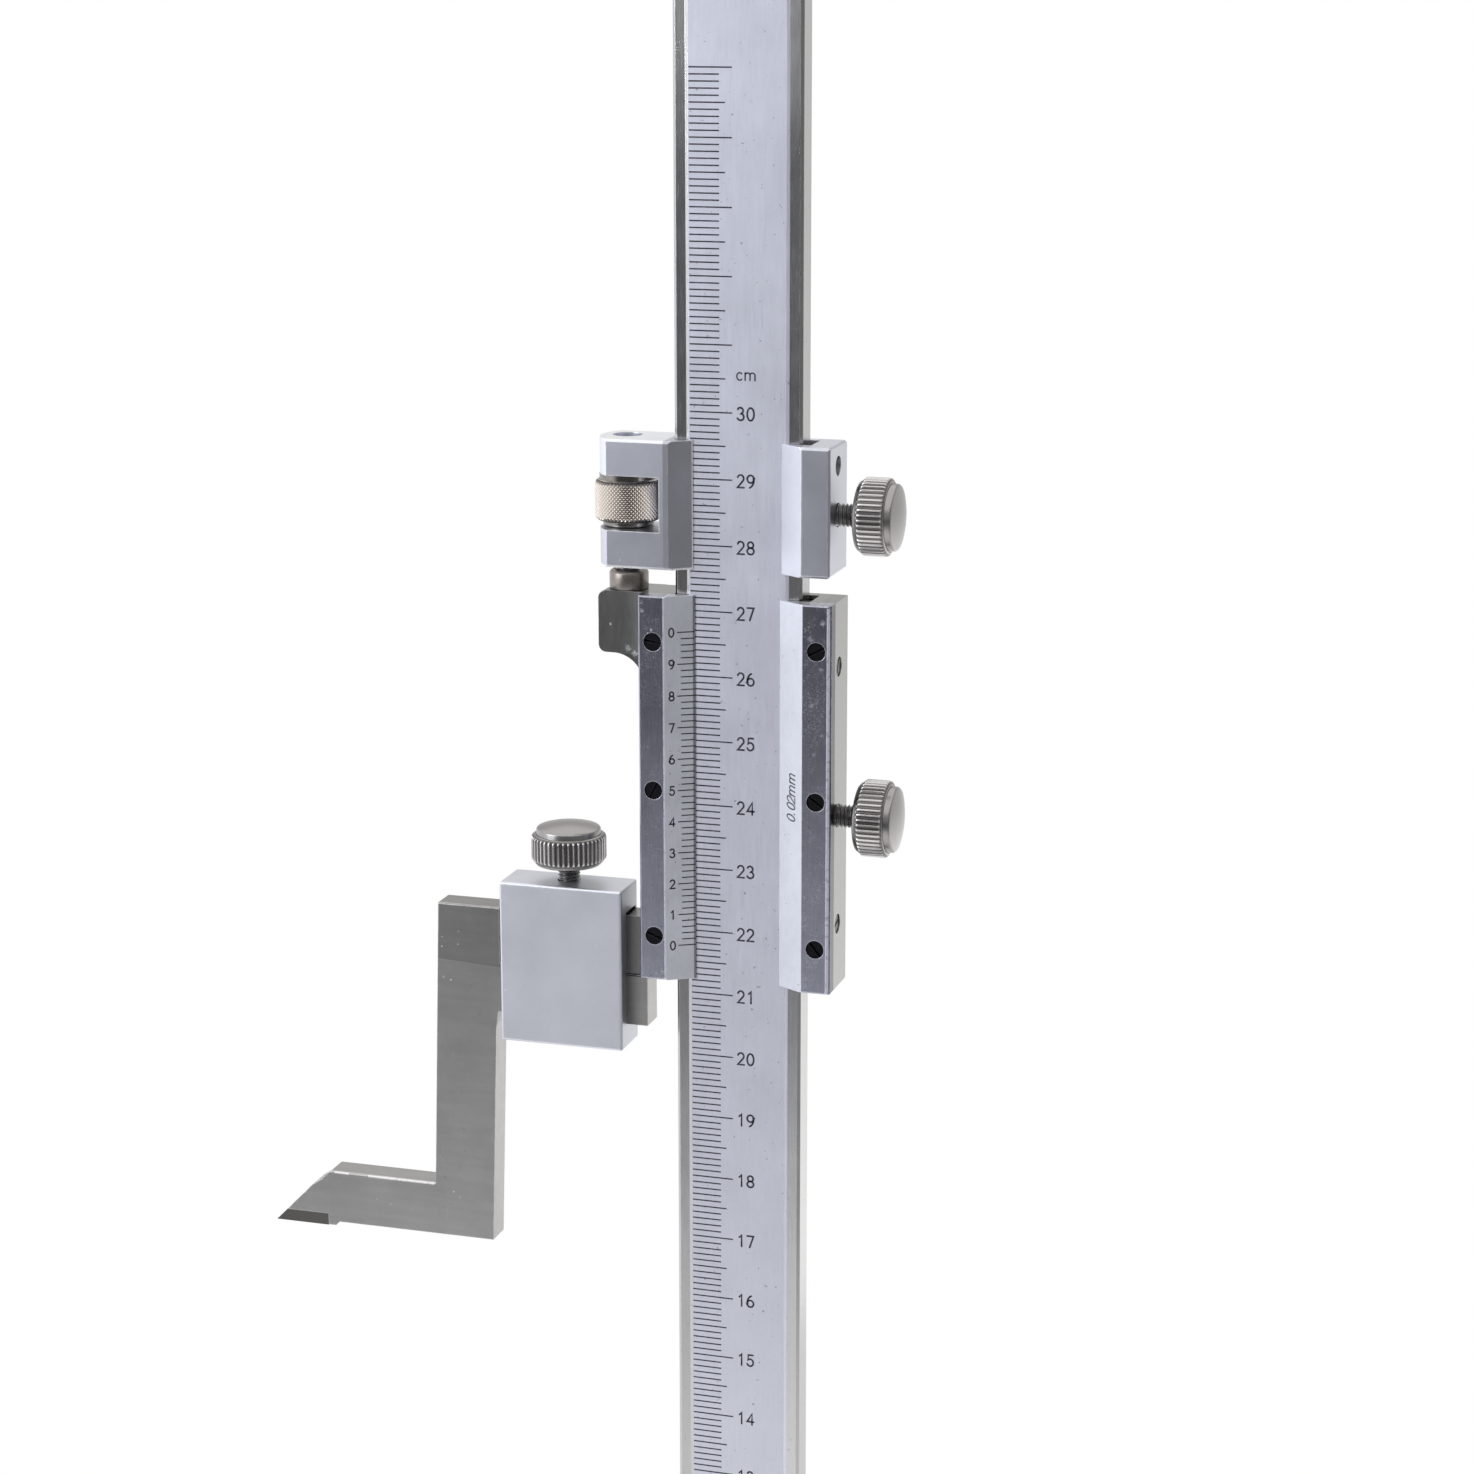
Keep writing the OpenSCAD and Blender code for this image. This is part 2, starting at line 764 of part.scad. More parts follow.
// Left plate, whose sloping face carries the vernier
module vernier_plate() {
    color("silver")
    difference() {
        intersection() {
            translate([0, 0, slider_z])
                linear_extrude(slider_h)
                    mirror([1, 0])
                        lip_section(-slider_left, ridge_x, ridge_x - bevel_w, edge_break);
            plate_ends();
        }
        plate_holes(vernier_screw_x);
    }
}

// Right plate
module retaining_plate() {
    color("silver")
    difference() {
        intersection() {
            translate([0, 0, slider_z])
                linear_extrude(slider_h)
                    lip_section(slider_right, ridge_x, ridge_x - bevel_w, plate_chamfer);
            plate_ends();
        }
        plate_holes(retaining_screw_x);
    }
}

// Slotted screws of one plate
module plate_screws(x) {
    for (i = [-1, 0, 1])
        translate([x, face_front + edge_break, slider_mid + i * plate_screw_pitch])
            rotate([-90, 0, 0])
                difference() {
                    union() {
                        cylinder(h = plate_head_h, d = plate_head_d);
                        cylinder(h = plate_head_h + plate_shank_l, d = plate_shank_d);
                    }
                    block(
                        [-plate_head_d, -slot_w / 2, -over],
                        [plate_head_d, slot_w / 2, slot_depth]
                    );
                }
}

module vernier_screws() {
    color([0.12, 0.12, 0.13])
        plate_screws(vernier_screw_x);
}

module retaining_screws() {
    color([0.12, 0.12, 0.13])
        plate_screws(retaining_screw_x);
}

// Gib strip between the beam and the right wall, with dimples for its screws
module gib(z0, z1, screw_heights) {
    difference() {
        block(
            [gib_x, land_step + gib_side, z0 + gib_short],
            [gib_out, beam_t - gib_side, z1 - gib_short]
        );
        for (z = screw_heights)
            translate([gib_out - dog_l - seat, clamp_y, z])
                along_x()
                    cylinder(h = dog_l + over, d = dog_d + 2 * seat);
    }
}

module slider_gib() {
    color("peru")
        gib(slider_z, slider_top, gib_screw_zs);
}

module carriage_gib() {
    color("peru")
        gib(carriage_z, carriage_top, [carriage_screw_z]);
}

// Slotted set screw with a dog point, from the gib out to x1
module gib_screw(x1, z) {
    x0 = gib_out + seat;
    translate([x0, clamp_y, z])
        along_x()
            difference() {
                union() {
                    cylinder(h = x1 - x0, d = gib_screw_d);
                    translate([0, 0, -dog_l])
                        cylinder(h = dog_l + seat, d = dog_d);
                }
                block(
                    [-slot_w / 2, -gib_screw_d, x1 - x0 - slot_depth],
                    [slot_w / 2, gib_screw_d, x1 - x0 + over]
                );
            }
}

module slider_gib_screws() {
    color("dimgray")
        for (z = gib_screw_zs)
            gib_screw(slider_right - edge_break, z);
}

module carriage_gib_screw() {
    color("dimgray")
        gib_screw(carriage_right - slot_depth, carriage_screw_z);
}

// Threaded rod of the fine adjustment
module fine_rod() {
    color("silver")
    difference() {
        translate([rod_x, rod_y, rod_foot])
            thread(rod_d, rod_pitch, slider_top + rod_up - rod_foot);
        translate([slider_left - lug_reach, rod_y, rod_pin_z])
            along_x()
                cylinder(h = lug_reach + over, d = rod_pin_d + 2 * seat);
    }
}

// Pin through the lug and the rod
module rod_pin() {
    color("gray")
        translate([slider_left - lug_reach + seat, rod_y, rod_pin_z])
            along_x()
                cylinder(h = rod_pin_l, d = rod_pin_d);
}

// Collar that locks the rod on the lug
module rod_collar() {
    c = edge_break;
    r = collar_d / 2;
    bore = rod_d / 2 + seat;
    color("tan")
        translate([rod_x, rod_y, slider_top + seat])
            rotate_extrude()
                polygon([
                    [bore, 0], [r - c, 0], [r, c], [r, collar_h - c],
                    [r - c, collar_h], [bore, collar_h]
                ]);
}

// Nut that moves the slider
module fine_nut() {
    h = fork_h - 2 * running;
    bore = rod_hole_r;
    c = nut_chamfer;
    color("tan")
        translate([rod_x, rod_y, fork_z + running])
            rotate_extrude()
                polygon([
                    [bore, 0],
                    [nut_low_d / 2 - edge_break, 0],
                    [nut_low_d / 2, edge_break],
                    [nut_low_d / 2, nut_low_h],
                    [nut_d / 2 - c, nut_low_h],
                    [nut_d / 2, nut_low_h + c],
                    [nut_d / 2, h - nut_top_h - c],
                    [nut_d / 2 - c, h - nut_top_h],
                    [nut_top_d / 2, h - nut_top_h],
                    [nut_top_d / 2, h - edge_break],
                    [nut_top_d / 2 - edge_break, h],
                    [bore, h]
                ]);
}

// Plan outline of the carriage's rounded left end
module carriage_end() {
    depth = body_back - face_front;
    r = (depth * depth / 4 + carriage_bulge * carriage_bulge) / (2 * carriage_bulge);
    cx = carriage_end_x + r;
    intersection() {
        translate([cx, (body_back + face_front) / 2])
            circle(r);
        translate([cx - 2 * r, face_front])
            square([2 * r, depth]);
    }
}

// Plan outline of the carriage without its rounded end
module carriage_section() {
    c = carriage_chamfer;
    edge = land_w / 2 - carriage_lip_over;
    left = carriage_left + carriage_bulge;
    polygon([
        [-edge - carriage_bevel_left, face_front], [-edge, body_front - lip_edge_t],
        [-edge, body_front], [channel_left, body_front], [channel_left, channel_back],
        [channel_right, channel_back], [channel_right, body_front], [edge, body_front],
        [edge, body_front - lip_edge_t], [edge + carriage_bevel_right, face_front],
        [carriage_right - c, face_front], [carriage_right, face_front + c],
        [carriage_right, body_back], [left, body_back], [left, face_front]
    ]);
}

// Carriage: channel round the beam with lips over the land and a fork for the nut
module carriage_body() {
    c = carriage_chamfer;
    color("lightsteelblue")
    difference() {
        intersection() {
            translate([0, 0, carriage_z])
                linear_extrude(carriage_h)
                    union() {
                        carriage_section();
                        carriage_end();
                    }
            upright(face_front, body_back)
                cut_rect(
                    [carriage_end_x - over, carriage_z],
                    [carriage_right, carriage_top],
                    c
                );
            sideways(carriage_end_x - over, carriage_right)
                cut_rect([face_front, carriage_z], [body_back, carriage_top], c);
        }
        block(
            [carriage_end_x - over, face_front - over, fork_z],
            [rod_x + fork_past_rod, body_back + over, fork_z + fork_h]
        );
        translate([rod_x, rod_y, carriage_z - over])
            cylinder(h = carriage_h + 2 * over, r = rod_hole_r + edge_break);
        translate([channel_right - over, clamp_y, carriage_screw_z])
            along_x()
                cylinder(h = right_wall + 2 * over, r = gib_hole_r);
        translate([channel_right - over, clamp_y, carriage_clamp_z])
            along_x()
                cylinder(h = right_wall + 2 * over, r = clamp_hole_r);
    }
}

// Soft pad at the tip of a clamp screw, built along +Z from its face
module clamp_pad() {
    cylinder(h = pad_t, r = clamp_d / 2 - tip_share * clamp_d);
}

// Clamp screw along +Z from the pad's back to inside the knob, whose back is at height l
module clamp_screw(l) {
    c = tip_share * clamp_d;
    z0 = pad_t + seat;
    thread_l = l - z0 - neck_l;
    translate([0, 0, z0])
        thread(clamp_d, clamp_pitch, thread_l);
    translate([0, 0, z0 + thread_l - seat])
        cylinder(h = neck_l + knob_bore_l + seat - c, d = neck_d);
}

// Ribbed knob along +Z from its back at height 0
module clamp_knob() {
    difference() {
        union() {
            cylinder(h = knob_back, r1 = root_r - knob_slope, r2 = root_r);
            translate([0, 0, knob_back])
                linear_extrude(knob_band)
                    polygon(ribs(knob_ribs, knob_r, root_r));
            translate([0, 0, knob_back + knob_band])
                rotate_extrude()
                    polygon([
                        [0, 0], [root_r, 0], [root_r - knob_slope, knob_front],
                        [cap_d / 2, knob_front],
                        [cap_d / 2, rim_h - edge_break],
                        [cap_d / 2 - edge_break, rim_h],
                        [cap_d / 4, rim_h + dome_rise * dome_share],
                        [0, rim_h + dome_rise]
                    ]);
        }
        translate([0, 0, -over])
            cylinder(h = over + knob_bore_l, d = neck_d + 2 * seat);
    }
}

// Places of the three clamps: the face that the pad touches, and the length to the knob's back
module at_slider_clamp() {
    translate([gib_out + seat, clamp_y, slider_clamp_z])
        along_x()
            children();
}

module at_carriage_clamp() {
    translate([gib_out + seat, clamp_y, carriage_clamp_z])
        along_x()
            children();
}

module at_box_clamp() {
    translate([box_mid, clamp_y, arm_top + seat])
        children();
}

slider_clamp_l = slider_right + clamp_bare - gib_out - seat;
carriage_clamp_l = carriage_right + clamp_bare - gib_out - seat;
box_clamp_l = box_top + box_bare - arm_top - seat;

module slider_clamp_pad() {
    color("goldenrod")
        at_slider_clamp()
            clamp_pad();
}

module slider_clamp_screw() {
    color("dimgray")
        at_slider_clamp()
            clamp_screw(slider_clamp_l);
}

module slider_clamp_knob() {
    color("silver")
        at_slider_clamp()
            translate([0, 0, slider_clamp_l])
                clamp_knob();
}

module carriage_clamp_pad() {
    color("goldenrod")
        at_carriage_clamp()
            clamp_pad();
}

module carriage_clamp_screw() {
    color("dimgray")
        at_carriage_clamp()
            clamp_screw(carriage_clamp_l);
}

module carriage_clamp_knob() {
    color("silver")
        at_carriage_clamp()
            translate([0, 0, carriage_clamp_l])
                clamp_knob();
}

module box_clamp_pad() {
    color("goldenrod")
        at_box_clamp()
            clamp_pad();
}

module box_clamp_screw() {
    color("dimgray")
        at_box_clamp()
            clamp_screw(box_clamp_l);
}

module box_clamp_knob() {
    color("silver")
        at_box_clamp()
            translate([0, 0, box_clamp_l])
                clamp_knob();
}

// Box that clamps the scriber's shank up against the arm
module scriber_box() {
    color("lightsteelblue")
    difference() {
        intersection() {
            upright(box_front, box_back)
                round_rect([box_left, box_z], [box_right, box_top], box_r);
            sideways(box_left, box_right)
                box_side_outline(box_z, box_top);
            translate([0, 0, box_z])
                linear_extrude(box_top - box_z)
                    rotate([0, 0, -90])
                        mirror([1, 0])
                            box_side_outline(box_left, box_right);
        }
        block([box_left - over, window_front, window_z], [box_right + over, window_back, window_top]);
        translate([box_mid, clamp_y, window_top - over])
            cylinder(h = box_roof + 2 * over, r = clamp_hole_r);
    }
}

// Outline with round corners at the box's front and cut corners at its back
module box_side_outline(lo, hi) {
    c = box_back_chamfer;
    intersection() {
        round_rect([box_front, lo], [box_back + box_r, hi], box_r);
        polygon([
            [box_front, lo], [box_back - c, lo], [box_back, lo + c],
            [box_back, hi - c], [box_back - c, hi], [box_front, hi]
        ]);
    }
}

// Front view of the scriber, with the seat of the carbide tip cut out
module scriber_outline() {
    nose_x = tip_x + nose_l;
    nose_h = foot_top - edge_z;
    polygon(concat(
        [
            [box_right + tail, shank_z],
            [box_right + tail, shank_top],
            [leg_right, shank_top],
            [leg_right, leg_z],
            [leg_left, leg_z],
            [leg_left - lean_at(foot_top), foot_top]
        ],
        [for (s = nose_shares) [nose_x - s[0] * nose_l, edge_z + s[1] * nose_h]],
        [
            [tip_x + nose_run(tip_h), edge_z + tip_h],
            [tip_x + tip_l, edge_z + tip_h],
            [tip_x + tip_l, edge_z + heel_up],
            [heel_x, edge_z + heel_up],
            [heel_x + foot_rise - heel_up, foot_z],
            [leg_low_right - lean_at(foot_z), foot_z],
            [leg_low_right - lean_at(shank_z - shank_slope_h), shank_z - shank_slope_h],
            [leg_low_right - lean_at(shank_z) + shank_slope_w, shank_z]
        ]
    ));
}

// Distance of the nose's slope from the tip at a height h above the edge
function nose_run(h) = let (
        s = nose_shares[len(nose_shares) - 1],
        top = s[1] * (foot_top - edge_z)
    )
    h * (1 - s[0]) * nose_l / top;

// Scriber: shank, leg and foot in one piece
module scriber() {
    c = scriber_chamfer;
    color("gray")
    intersection() {
        upright(arm_y, arm_back)
            scriber_outline();
        union() {
            edge_band(foot_top, c, tip_x - over, leg_left - lean_at(foot_top));
            edge_band(leg_z, c, leg_left - lean_at(foot_top) - seat, box_right + tail + over);
        }
    }
}

// Region below height z whose upper long edges are cut by c, from x0 to x1
module edge_band(z, c, x0, x1) {
    sideways(x0, x1)
        polygon([
            [arm_y, edge_z - over], [arm_back, edge_z - over], [arm_back, z - c],
            [arm_back - c, z], [arm_y + c, z], [arm_y, z - c]
        ]);
}

// Carbide tip with the scribing edge
module carbide_tip() {
    color([0.2, 0.2, 0.2])
        upright(arm_y, arm_back)
            polygon([
                [tip_x, edge_z],
                [tip_x + tip_l - seat, edge_z],
                [tip_x + tip_l - seat, edge_z + tip_h - seat],
                [tip_x + nose_run(tip_h - seat), edge_z + tip_h - seat]
            ]);
}

base();
beam();
foot_screws();
beam_set_screws();
carriage_body();
carriage_gib();
carriage_gib_screw();
carriage_clamp_pad();
carriage_clamp_screw();
carriage_clamp_knob();
fine_nut();
slider_body();
vernier_plate();
vernier_screws();
retaining_plate();
retaining_screws();
slider_gib();
slider_gib_screws();
fine_rod();
rod_collar();
rod_pin();
slider_clamp_pad();
slider_clamp_screw();
slider_clamp_knob();
scriber_box();
box_clamp_pad();
box_clamp_screw();
box_clamp_knob();
scriber();
carbide_tip();
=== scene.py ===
import math

import bpy
from mathutils import Matrix, Vector


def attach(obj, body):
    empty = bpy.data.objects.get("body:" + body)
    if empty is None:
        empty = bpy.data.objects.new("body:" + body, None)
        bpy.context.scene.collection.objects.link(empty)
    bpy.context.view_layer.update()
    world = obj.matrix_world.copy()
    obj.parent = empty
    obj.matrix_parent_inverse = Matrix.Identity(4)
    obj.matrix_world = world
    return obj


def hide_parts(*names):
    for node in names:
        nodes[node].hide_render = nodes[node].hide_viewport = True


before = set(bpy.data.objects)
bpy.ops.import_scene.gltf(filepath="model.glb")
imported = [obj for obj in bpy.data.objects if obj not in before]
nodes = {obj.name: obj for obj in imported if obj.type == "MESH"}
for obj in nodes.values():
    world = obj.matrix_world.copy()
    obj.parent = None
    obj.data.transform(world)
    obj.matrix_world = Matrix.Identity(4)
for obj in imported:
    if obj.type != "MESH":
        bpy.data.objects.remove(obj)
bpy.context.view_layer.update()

MM = 0.001
scene = bpy.context.scene

# Sizes in millimetres.
ZERO_Z = 53.32              # height of the main scale's zero
VERNIER_Z = 271.14          # height of the vernier's zero
PROUD = 0.012               # how far filled marks stand out
SINK = 0.02                 # how far they reach into the metal
LEFT_RIDGE = (-10.8, -2.6)  # x and y of the vernier bevel's outer edge
LEFT_EDGE = (-6.65, -0.2)   # and of its inner edge
RIGHT_RIDGE = (10.8, -2.6)
RIGHT_EDGE = (6.65, -0.2)
VALUE_Z = ZERO_Z + 238.79   # height where the vernier's value starts
MARK_LEFT = -7.35           # left ends of the main scale's lines
MARK_ENDS = (-0.8, -1.85, -2.75)    # right ends of the 10 mm, 5 mm and 1 mm lines
MARK_W = 0.21               # width of a line
VERNIER_STEP = 0.98         # 49 mm in 50 parts
VERNIER_MARK_W = 0.17
SHOULDER_Y = 0.21           # just behind the beam's two shoulders
LAND_RIGHT = 7.91           # right end of the land's slope
LAND_MID, LAND_HALF = 0.21, 7.7
BEVEL_X = 10.79             # outer edge of the bevels of plates and carriage
LUG_TOP_Z = 325.6
SEAM_Z = 265.21             # line between the arm and the shank
ENAMEL_Z = 2.5              # lower edge of the base's enamel
CLAMP_Y = 2.1               # depth of the three clamps and of the set screws
SLIDER_CLAMP_Z = 292.67
CARRIAGE_CLAMP_Z = 338.57
SCREW_X = 11.27             # inner ends of the two side clamp screws
SLIDER_KNOB_X = 18.6        # backs of the side knobs
CARRIAGE_KNOB_X = 18.3
BOX_CLAMP_X = -28.0
BOX_SCREW_Z = 274.74        # inner end of the box's clamp screw
BOX_KNOB_Z = 281.82         # back of its knob
ROD = (-18.05, 3.0)         # x and y of the fine adjustment's rod
ROD_FOOT, ROD_TOP = 317.32, 347.27
NUT_Z, NUT_H = 335.37, 8.15
COLLAR_Z = 325.69
PLATE_ZS = (318.67, 295.67, 272.67)
PLATE_SCREW_Y = -1.1        # inner ends of the plates' screws
PLATE_SCREW_XS = (-12.58, 12.93)
GRUB_X = 11.3               # inner ends of the set screws
SLIDER_GRUB_ZS = (315.67, 275.67)
CARRIAGE_GRUB_Z = 345.87


# Node graph helpers.
class Graph:
    """Short names for the nodes of one material or world."""

    def __init__(self, owner):
        owner.use_nodes = True
        self.tree = owner.node_tree
        self.tree.nodes.clear()

    def add(self, kind, **settings):
        node = self.tree.nodes.new(kind)
        for key, value in settings.items():
            setattr(node, key, value)
        return node

    def put(self, socket, value):
        if isinstance(value, bpy.types.NodeSocket):
            self.tree.links.new(value, socket)
        elif value is not None:
            socket.default_value = value

    def math(self, op, a, b=None, c=None):
        node = self.add("ShaderNodeMath", operation=op)
        for i, v in enumerate((a, b, c)):
            self.put(node.inputs[i], v)
        return node.outputs[0]

    def vec(self, op, a, b=None):
        node = self.add("ShaderNodeVectorMath", operation=op)
        self.put(node.inputs[0], a)
        self.put(node.inputs[1], b)
        return node.outputs["Value" if op in ("DOT_PRODUCT", "LENGTH") else "Vector"]

    def fade(self, value, lo, hi, a=0.0, b=1.0):
        """Smooth step from a at lo to b at hi."""
        node = self.add("ShaderNodeMapRange", interpolation_type="SMOOTHSTEP")
        for i, v in enumerate((value, lo, hi, a, b)):
            self.put(node.inputs[i], v)
        return node.outputs[0]

    def mix(self, factor, a, b):
        """Mixes two colours."""
        node = self.add("ShaderNodeMix", data_type="RGBA", blend_type="MIX")
        self.put(node.inputs[0], factor)
        self.put(node.inputs[6], a)
        self.put(node.inputs[7], b)
        return node.outputs[2]

    def blend(self, factor, a, b):
        """Mixes two numbers."""
        node = self.add("ShaderNodeMix", data_type="FLOAT")
        self.put(node.inputs[0], factor)
        self.put(node.inputs[2], a)
        self.put(node.inputs[3], b)
        return node.outputs[0]

    def noise(self, place, scale=1.0, detail=2.0, rough=0.5, stretch=(1, 1, 1), turn=(0, 0, 0), seed=0.0):
        """Noise over millimetres. stretch is how often it repeats along each axis."""
        node = self.add("ShaderNodeMapping")
        self.put(node.inputs[0], place)
        node.inputs["Location"].default_value = (seed, seed * 1.7, seed * 0.6)
        node.inputs["Rotation"].default_value = [math.radians(t) for t in turn]
        node.inputs["Scale"].default_value = stretch
        tex = self.add("ShaderNodeTexNoise")
        self.put(tex.inputs["Vector"], node.outputs[0])
        tex.inputs["Scale"].default_value = scale
        tex.inputs["Detail"].default_value = detail
        tex.inputs["Roughness"].default_value = rough
        return tex.outputs[0]

    def times(self, a, b):
        return self.math("MULTIPLY", a, b)

    def swing(self, value, amount):
        """Turns a value around 0.5 into one around 0."""
        return self.times(self.math("SUBTRACT", value, 0.5), amount)

    def either(self, factor, a, b):
        """Mixes two shaders."""
        node = self.add("ShaderNodeMixShader")
        for i, v in enumerate((factor, a, b)):
            self.put(node.inputs[i], v)
        return node.outputs[0]

    def relief(self, shader, height, depth, normal=None, strength=1.0):
        """Bumps of a depth in millimetres on a shader."""
        node = self.add("ShaderNodeBump")
        node.inputs["Strength"].default_value = strength
        node.inputs["Distance"].default_value = depth * MM
        self.put(node.inputs["Height"], height)
        self.put(node.inputs["Normal"], normal)
        self.put(shader.inputs["Normal"], node.outputs[0])

    def place(self):
        """Object coordinates in millimetres."""
        return self.vec("MULTIPLY", self.add("ShaderNodeTexCoord").outputs["Object"], (1000, 1000, 1000))

    def axes(self, place):
        node = self.add("ShaderNodeSeparateXYZ")
        self.put(node.inputs[0], place)
        return node.outputs[0], node.outputs[1], node.outputs[2]


def rgba(c):
    """Linear colour from an sRGB triple of 0 to 255."""
    out = []
    for v in c:
        s = v / 255
        out.append(s / 12.92 if s <= 0.04045 else ((s + 0.055) / 1.055) ** 2.4)
    return (*out, 1.0)


# Materials.
# Where wear and painted highlights brighten the metal, part of its reflection turns matt.
WORN_MATT = 0.55    # share of matt reflection where metal is rubbed


def new_material(name):
    """A material, its graph and its shader."""
    mat = bpy.data.materials.new(name)
    g = Graph(mat)
    out = g.add("ShaderNodeOutputMaterial")
    shader = g.add("ShaderNodeBsdfPrincipled")
    g.put(out.inputs[0], shader.outputs[0])
    return mat, g, shader


def metal(name, colour, rough, grain, grain_rough, grain_tone, bump, blotch=0.05, scratches=0.25,
          edge=0.12, edge_tone=1.35, nicks=0.5, regions=None, seed=1.0, dirt=0.0, cavity_shade=0.0,
          cavity_shade_size=0.4, streaks=0.0, spots=(), bands=(), shade=None, painted_grooves=None):
    """Bare or plated metal: grain, blotches, fine scratches, small nicks, and broken edges brightened both
    as wear and as a painted highlight.

    grain is how often the grain repeats along x, y and z, grain_rough and grain_tone what it adds to the
    roughness and the tone, and bump its depth in millimetres.
    regions(g, x, y, z) may return (mask, colour, rough) for a second finish on the same piece.
    spots lists bright damage as (x, z, radius, strength), bands painted highlight strips along edges as
    (x range, z range, strength), and shade(g, x, y, z) may return a tone; the shade functions paint light
    and shade on faces. cavity paints shade into the hollows from an occlusion test, and hollow (origin,
    axis, inner radius, outer radius, darkest, brightest tone) paints shade into the grooves of one turned
    piece and a painted highlight on its crests. edge 0 leaves the edges as they are."""
    mat, g, shader = new_material(name)
    place = g.place()
    x, y, z = g.axes(place)
    base = rgba(colour)
    rough_now = rough
    if regions:
        mask, colour_2, rough_2 = regions(g, x, y, z)
        base = g.mix(mask, rgba(colour), rgba(colour_2))
        rough_now = g.blend(mask, rough, rough_2)
    fine = g.noise(place, 1.0, 3, 0.6, grain, (0, 0, 0), seed)
    wide = g.noise(place, 0.12, 4, 0.55, (1, 1, 1), (20, 10, 5), seed + 3)
    middle = g.noise(place, 0.9, 3, 0.6, (1, 1, 1), (5, 40, 15), seed + 7)
    tone = g.math("ADD", g.swing(fine, grain_tone * 2), g.swing(wide, blotch * 2))
    tone = g.math("ADD", tone, g.swing(middle, blotch))
    if streaks:
        long = g.noise(place, 1.0, 3, 0.6, (0.06, 0.6, 0.6), (0, -38, 0), seed + 37)
        tone = g.math("ADD", tone, g.swing(long, streaks * 2))
    tone = g.math("ADD", tone, 1.0)
    # The shade functions paint light and shade on faces as a tone.
    if shade:
        tone = g.times(tone, shade(g, x, y, z))
    # Painted shade in the grooves of a turned piece and a painted highlight on its crests.
    if painted_grooves:
        origin, along, r_low, r_high, darkest, brightest = painted_grooves
        out_by = g.vec("CROSS_PRODUCT", g.vec("SUBTRACT", place, origin), along)
        radius = g.vec("LENGTH", out_by)
        grooves = g.fade(radius, r_low, r_high, darkest, brightest)
        tone = g.times(tone, g.blend(g.math("LESS_THAN", radius, r_low - 0.16), grooves, 1.0))
    # Painted shade in hollows, from an ambient occlusion test.
    if cavity_shade:
        hollow_light = g.add("ShaderNodeAmbientOcclusion", samples=4, only_local=True)
        hollow_light.inputs["Distance"].default_value = cavity_shade_size * MM
        tone = g.times(tone, g.fade(hollow_light.outputs["AO"], 0.3, 0.85, 1.0 - cavity_shade, 1.0))
    # Hairline scratches are the thin lines where a stretched noise crosses its middle.
    line = g.noise(place, 1.0, 1, 0.4, (0.9, 0.9, 0.035), (0, 35, 0), seed + 11)
    hair = g.fade(g.math("ABSOLUTE", g.math("SUBTRACT", line, 0.5)), 0.0, 0.0035, 1.0, 0.0)
    gate = g.fade(g.noise(place, 0.35, 2, 0.5, (1, 1, 1), (0, 0, 30), seed + 13), 0.52, 0.66)
    line_2 = g.noise(place, 1.0, 1, 0.4, (0.05, 1.3, 1.3), (0, 70, 20), seed + 17)
    hair_2 = g.fade(g.math("ABSOLUTE", g.math("SUBTRACT", line_2, 0.48)), 0.0, 0.0025, 1.0, 0.0)
    gate_2 = g.fade(g.noise(place, 0.3, 2, 0.5, (1, 1, 1), (0, 50, 0), seed + 19), 0.58, 0.68)
    scratch = g.times(g.math("MAXIMUM", g.times(hair, gate), g.times(hair_2, gate_2)), scratches)
    # Broken edges are found by comparing the rounded normal with the true one. The worn mask holds real wear
    # on edges and spots, and painted highlights on edges and bands.
    normal = None
    worn = 0.0
    if edge:
        soft = g.add("ShaderNodeBevel", samples=4)
        soft.inputs["Radius"].default_value = edge * MM
        normal = soft.outputs[0]
        true = g.add("ShaderNodeNewGeometry").outputs["Normal"]
        turn = g.math("SUBTRACT", 1.0, g.vec("DOT_PRODUCT", normal, true))
        gaps = g.noise(place, 0.8, 3, 0.7, seed=seed + 23)
        worn = g.times(g.fade(turn, 0.004, 0.12), g.fade(gaps, 0.35, 0.6, 0.35, 1.0))
    ragged = g.noise(place, 4.5, 4, 0.75, seed=seed + 41) if spots else None
    for spot_x, spot_z, radius, strength in spots:
        far = g.math("ADD", g.math("POWER", g.math("SUBTRACT", x, spot_x), 2.0),
                     g.math("POWER", g.math("SUBTRACT", z, spot_z), 2.0))
        near = g.fade(g.math("DIVIDE", g.math("SQRT", far), radius), 0.0, 1.0, 0.42, 0.0)
        hit = g.fade(g.math("ADD", near, ragged), 0.76, 0.9, 0.0, strength)
        worn = g.math("MAXIMUM", worn, hit)
    # Bands are painted highlight strips along edges, broken up by noise.
    for (x_low, x_high), (z_low, z_high), strength in bands:
        across = g.math("COMPARE", x, (x_low + x_high) / 2, (x_high - x_low) / 2)
        upright = g.math("COMPARE", z, (z_low + z_high) / 2, (z_high - z_low) / 2)
        band_breakup = g.fade(g.noise(place, 1.4, 3, 0.7, seed=seed + 47), 0.3, 0.5, 0.55, 1.0)
        inside = g.times(across, upright)
        worn = g.math("MAXIMUM", worn, g.times(inside, g.times(band_breakup, strength)))
    scale = g.add("ShaderNodeVectorMath", operation="SCALE")
    g.put(scale.inputs[0], base if regions else base[:3])
    g.put(scale.inputs[3], tone)
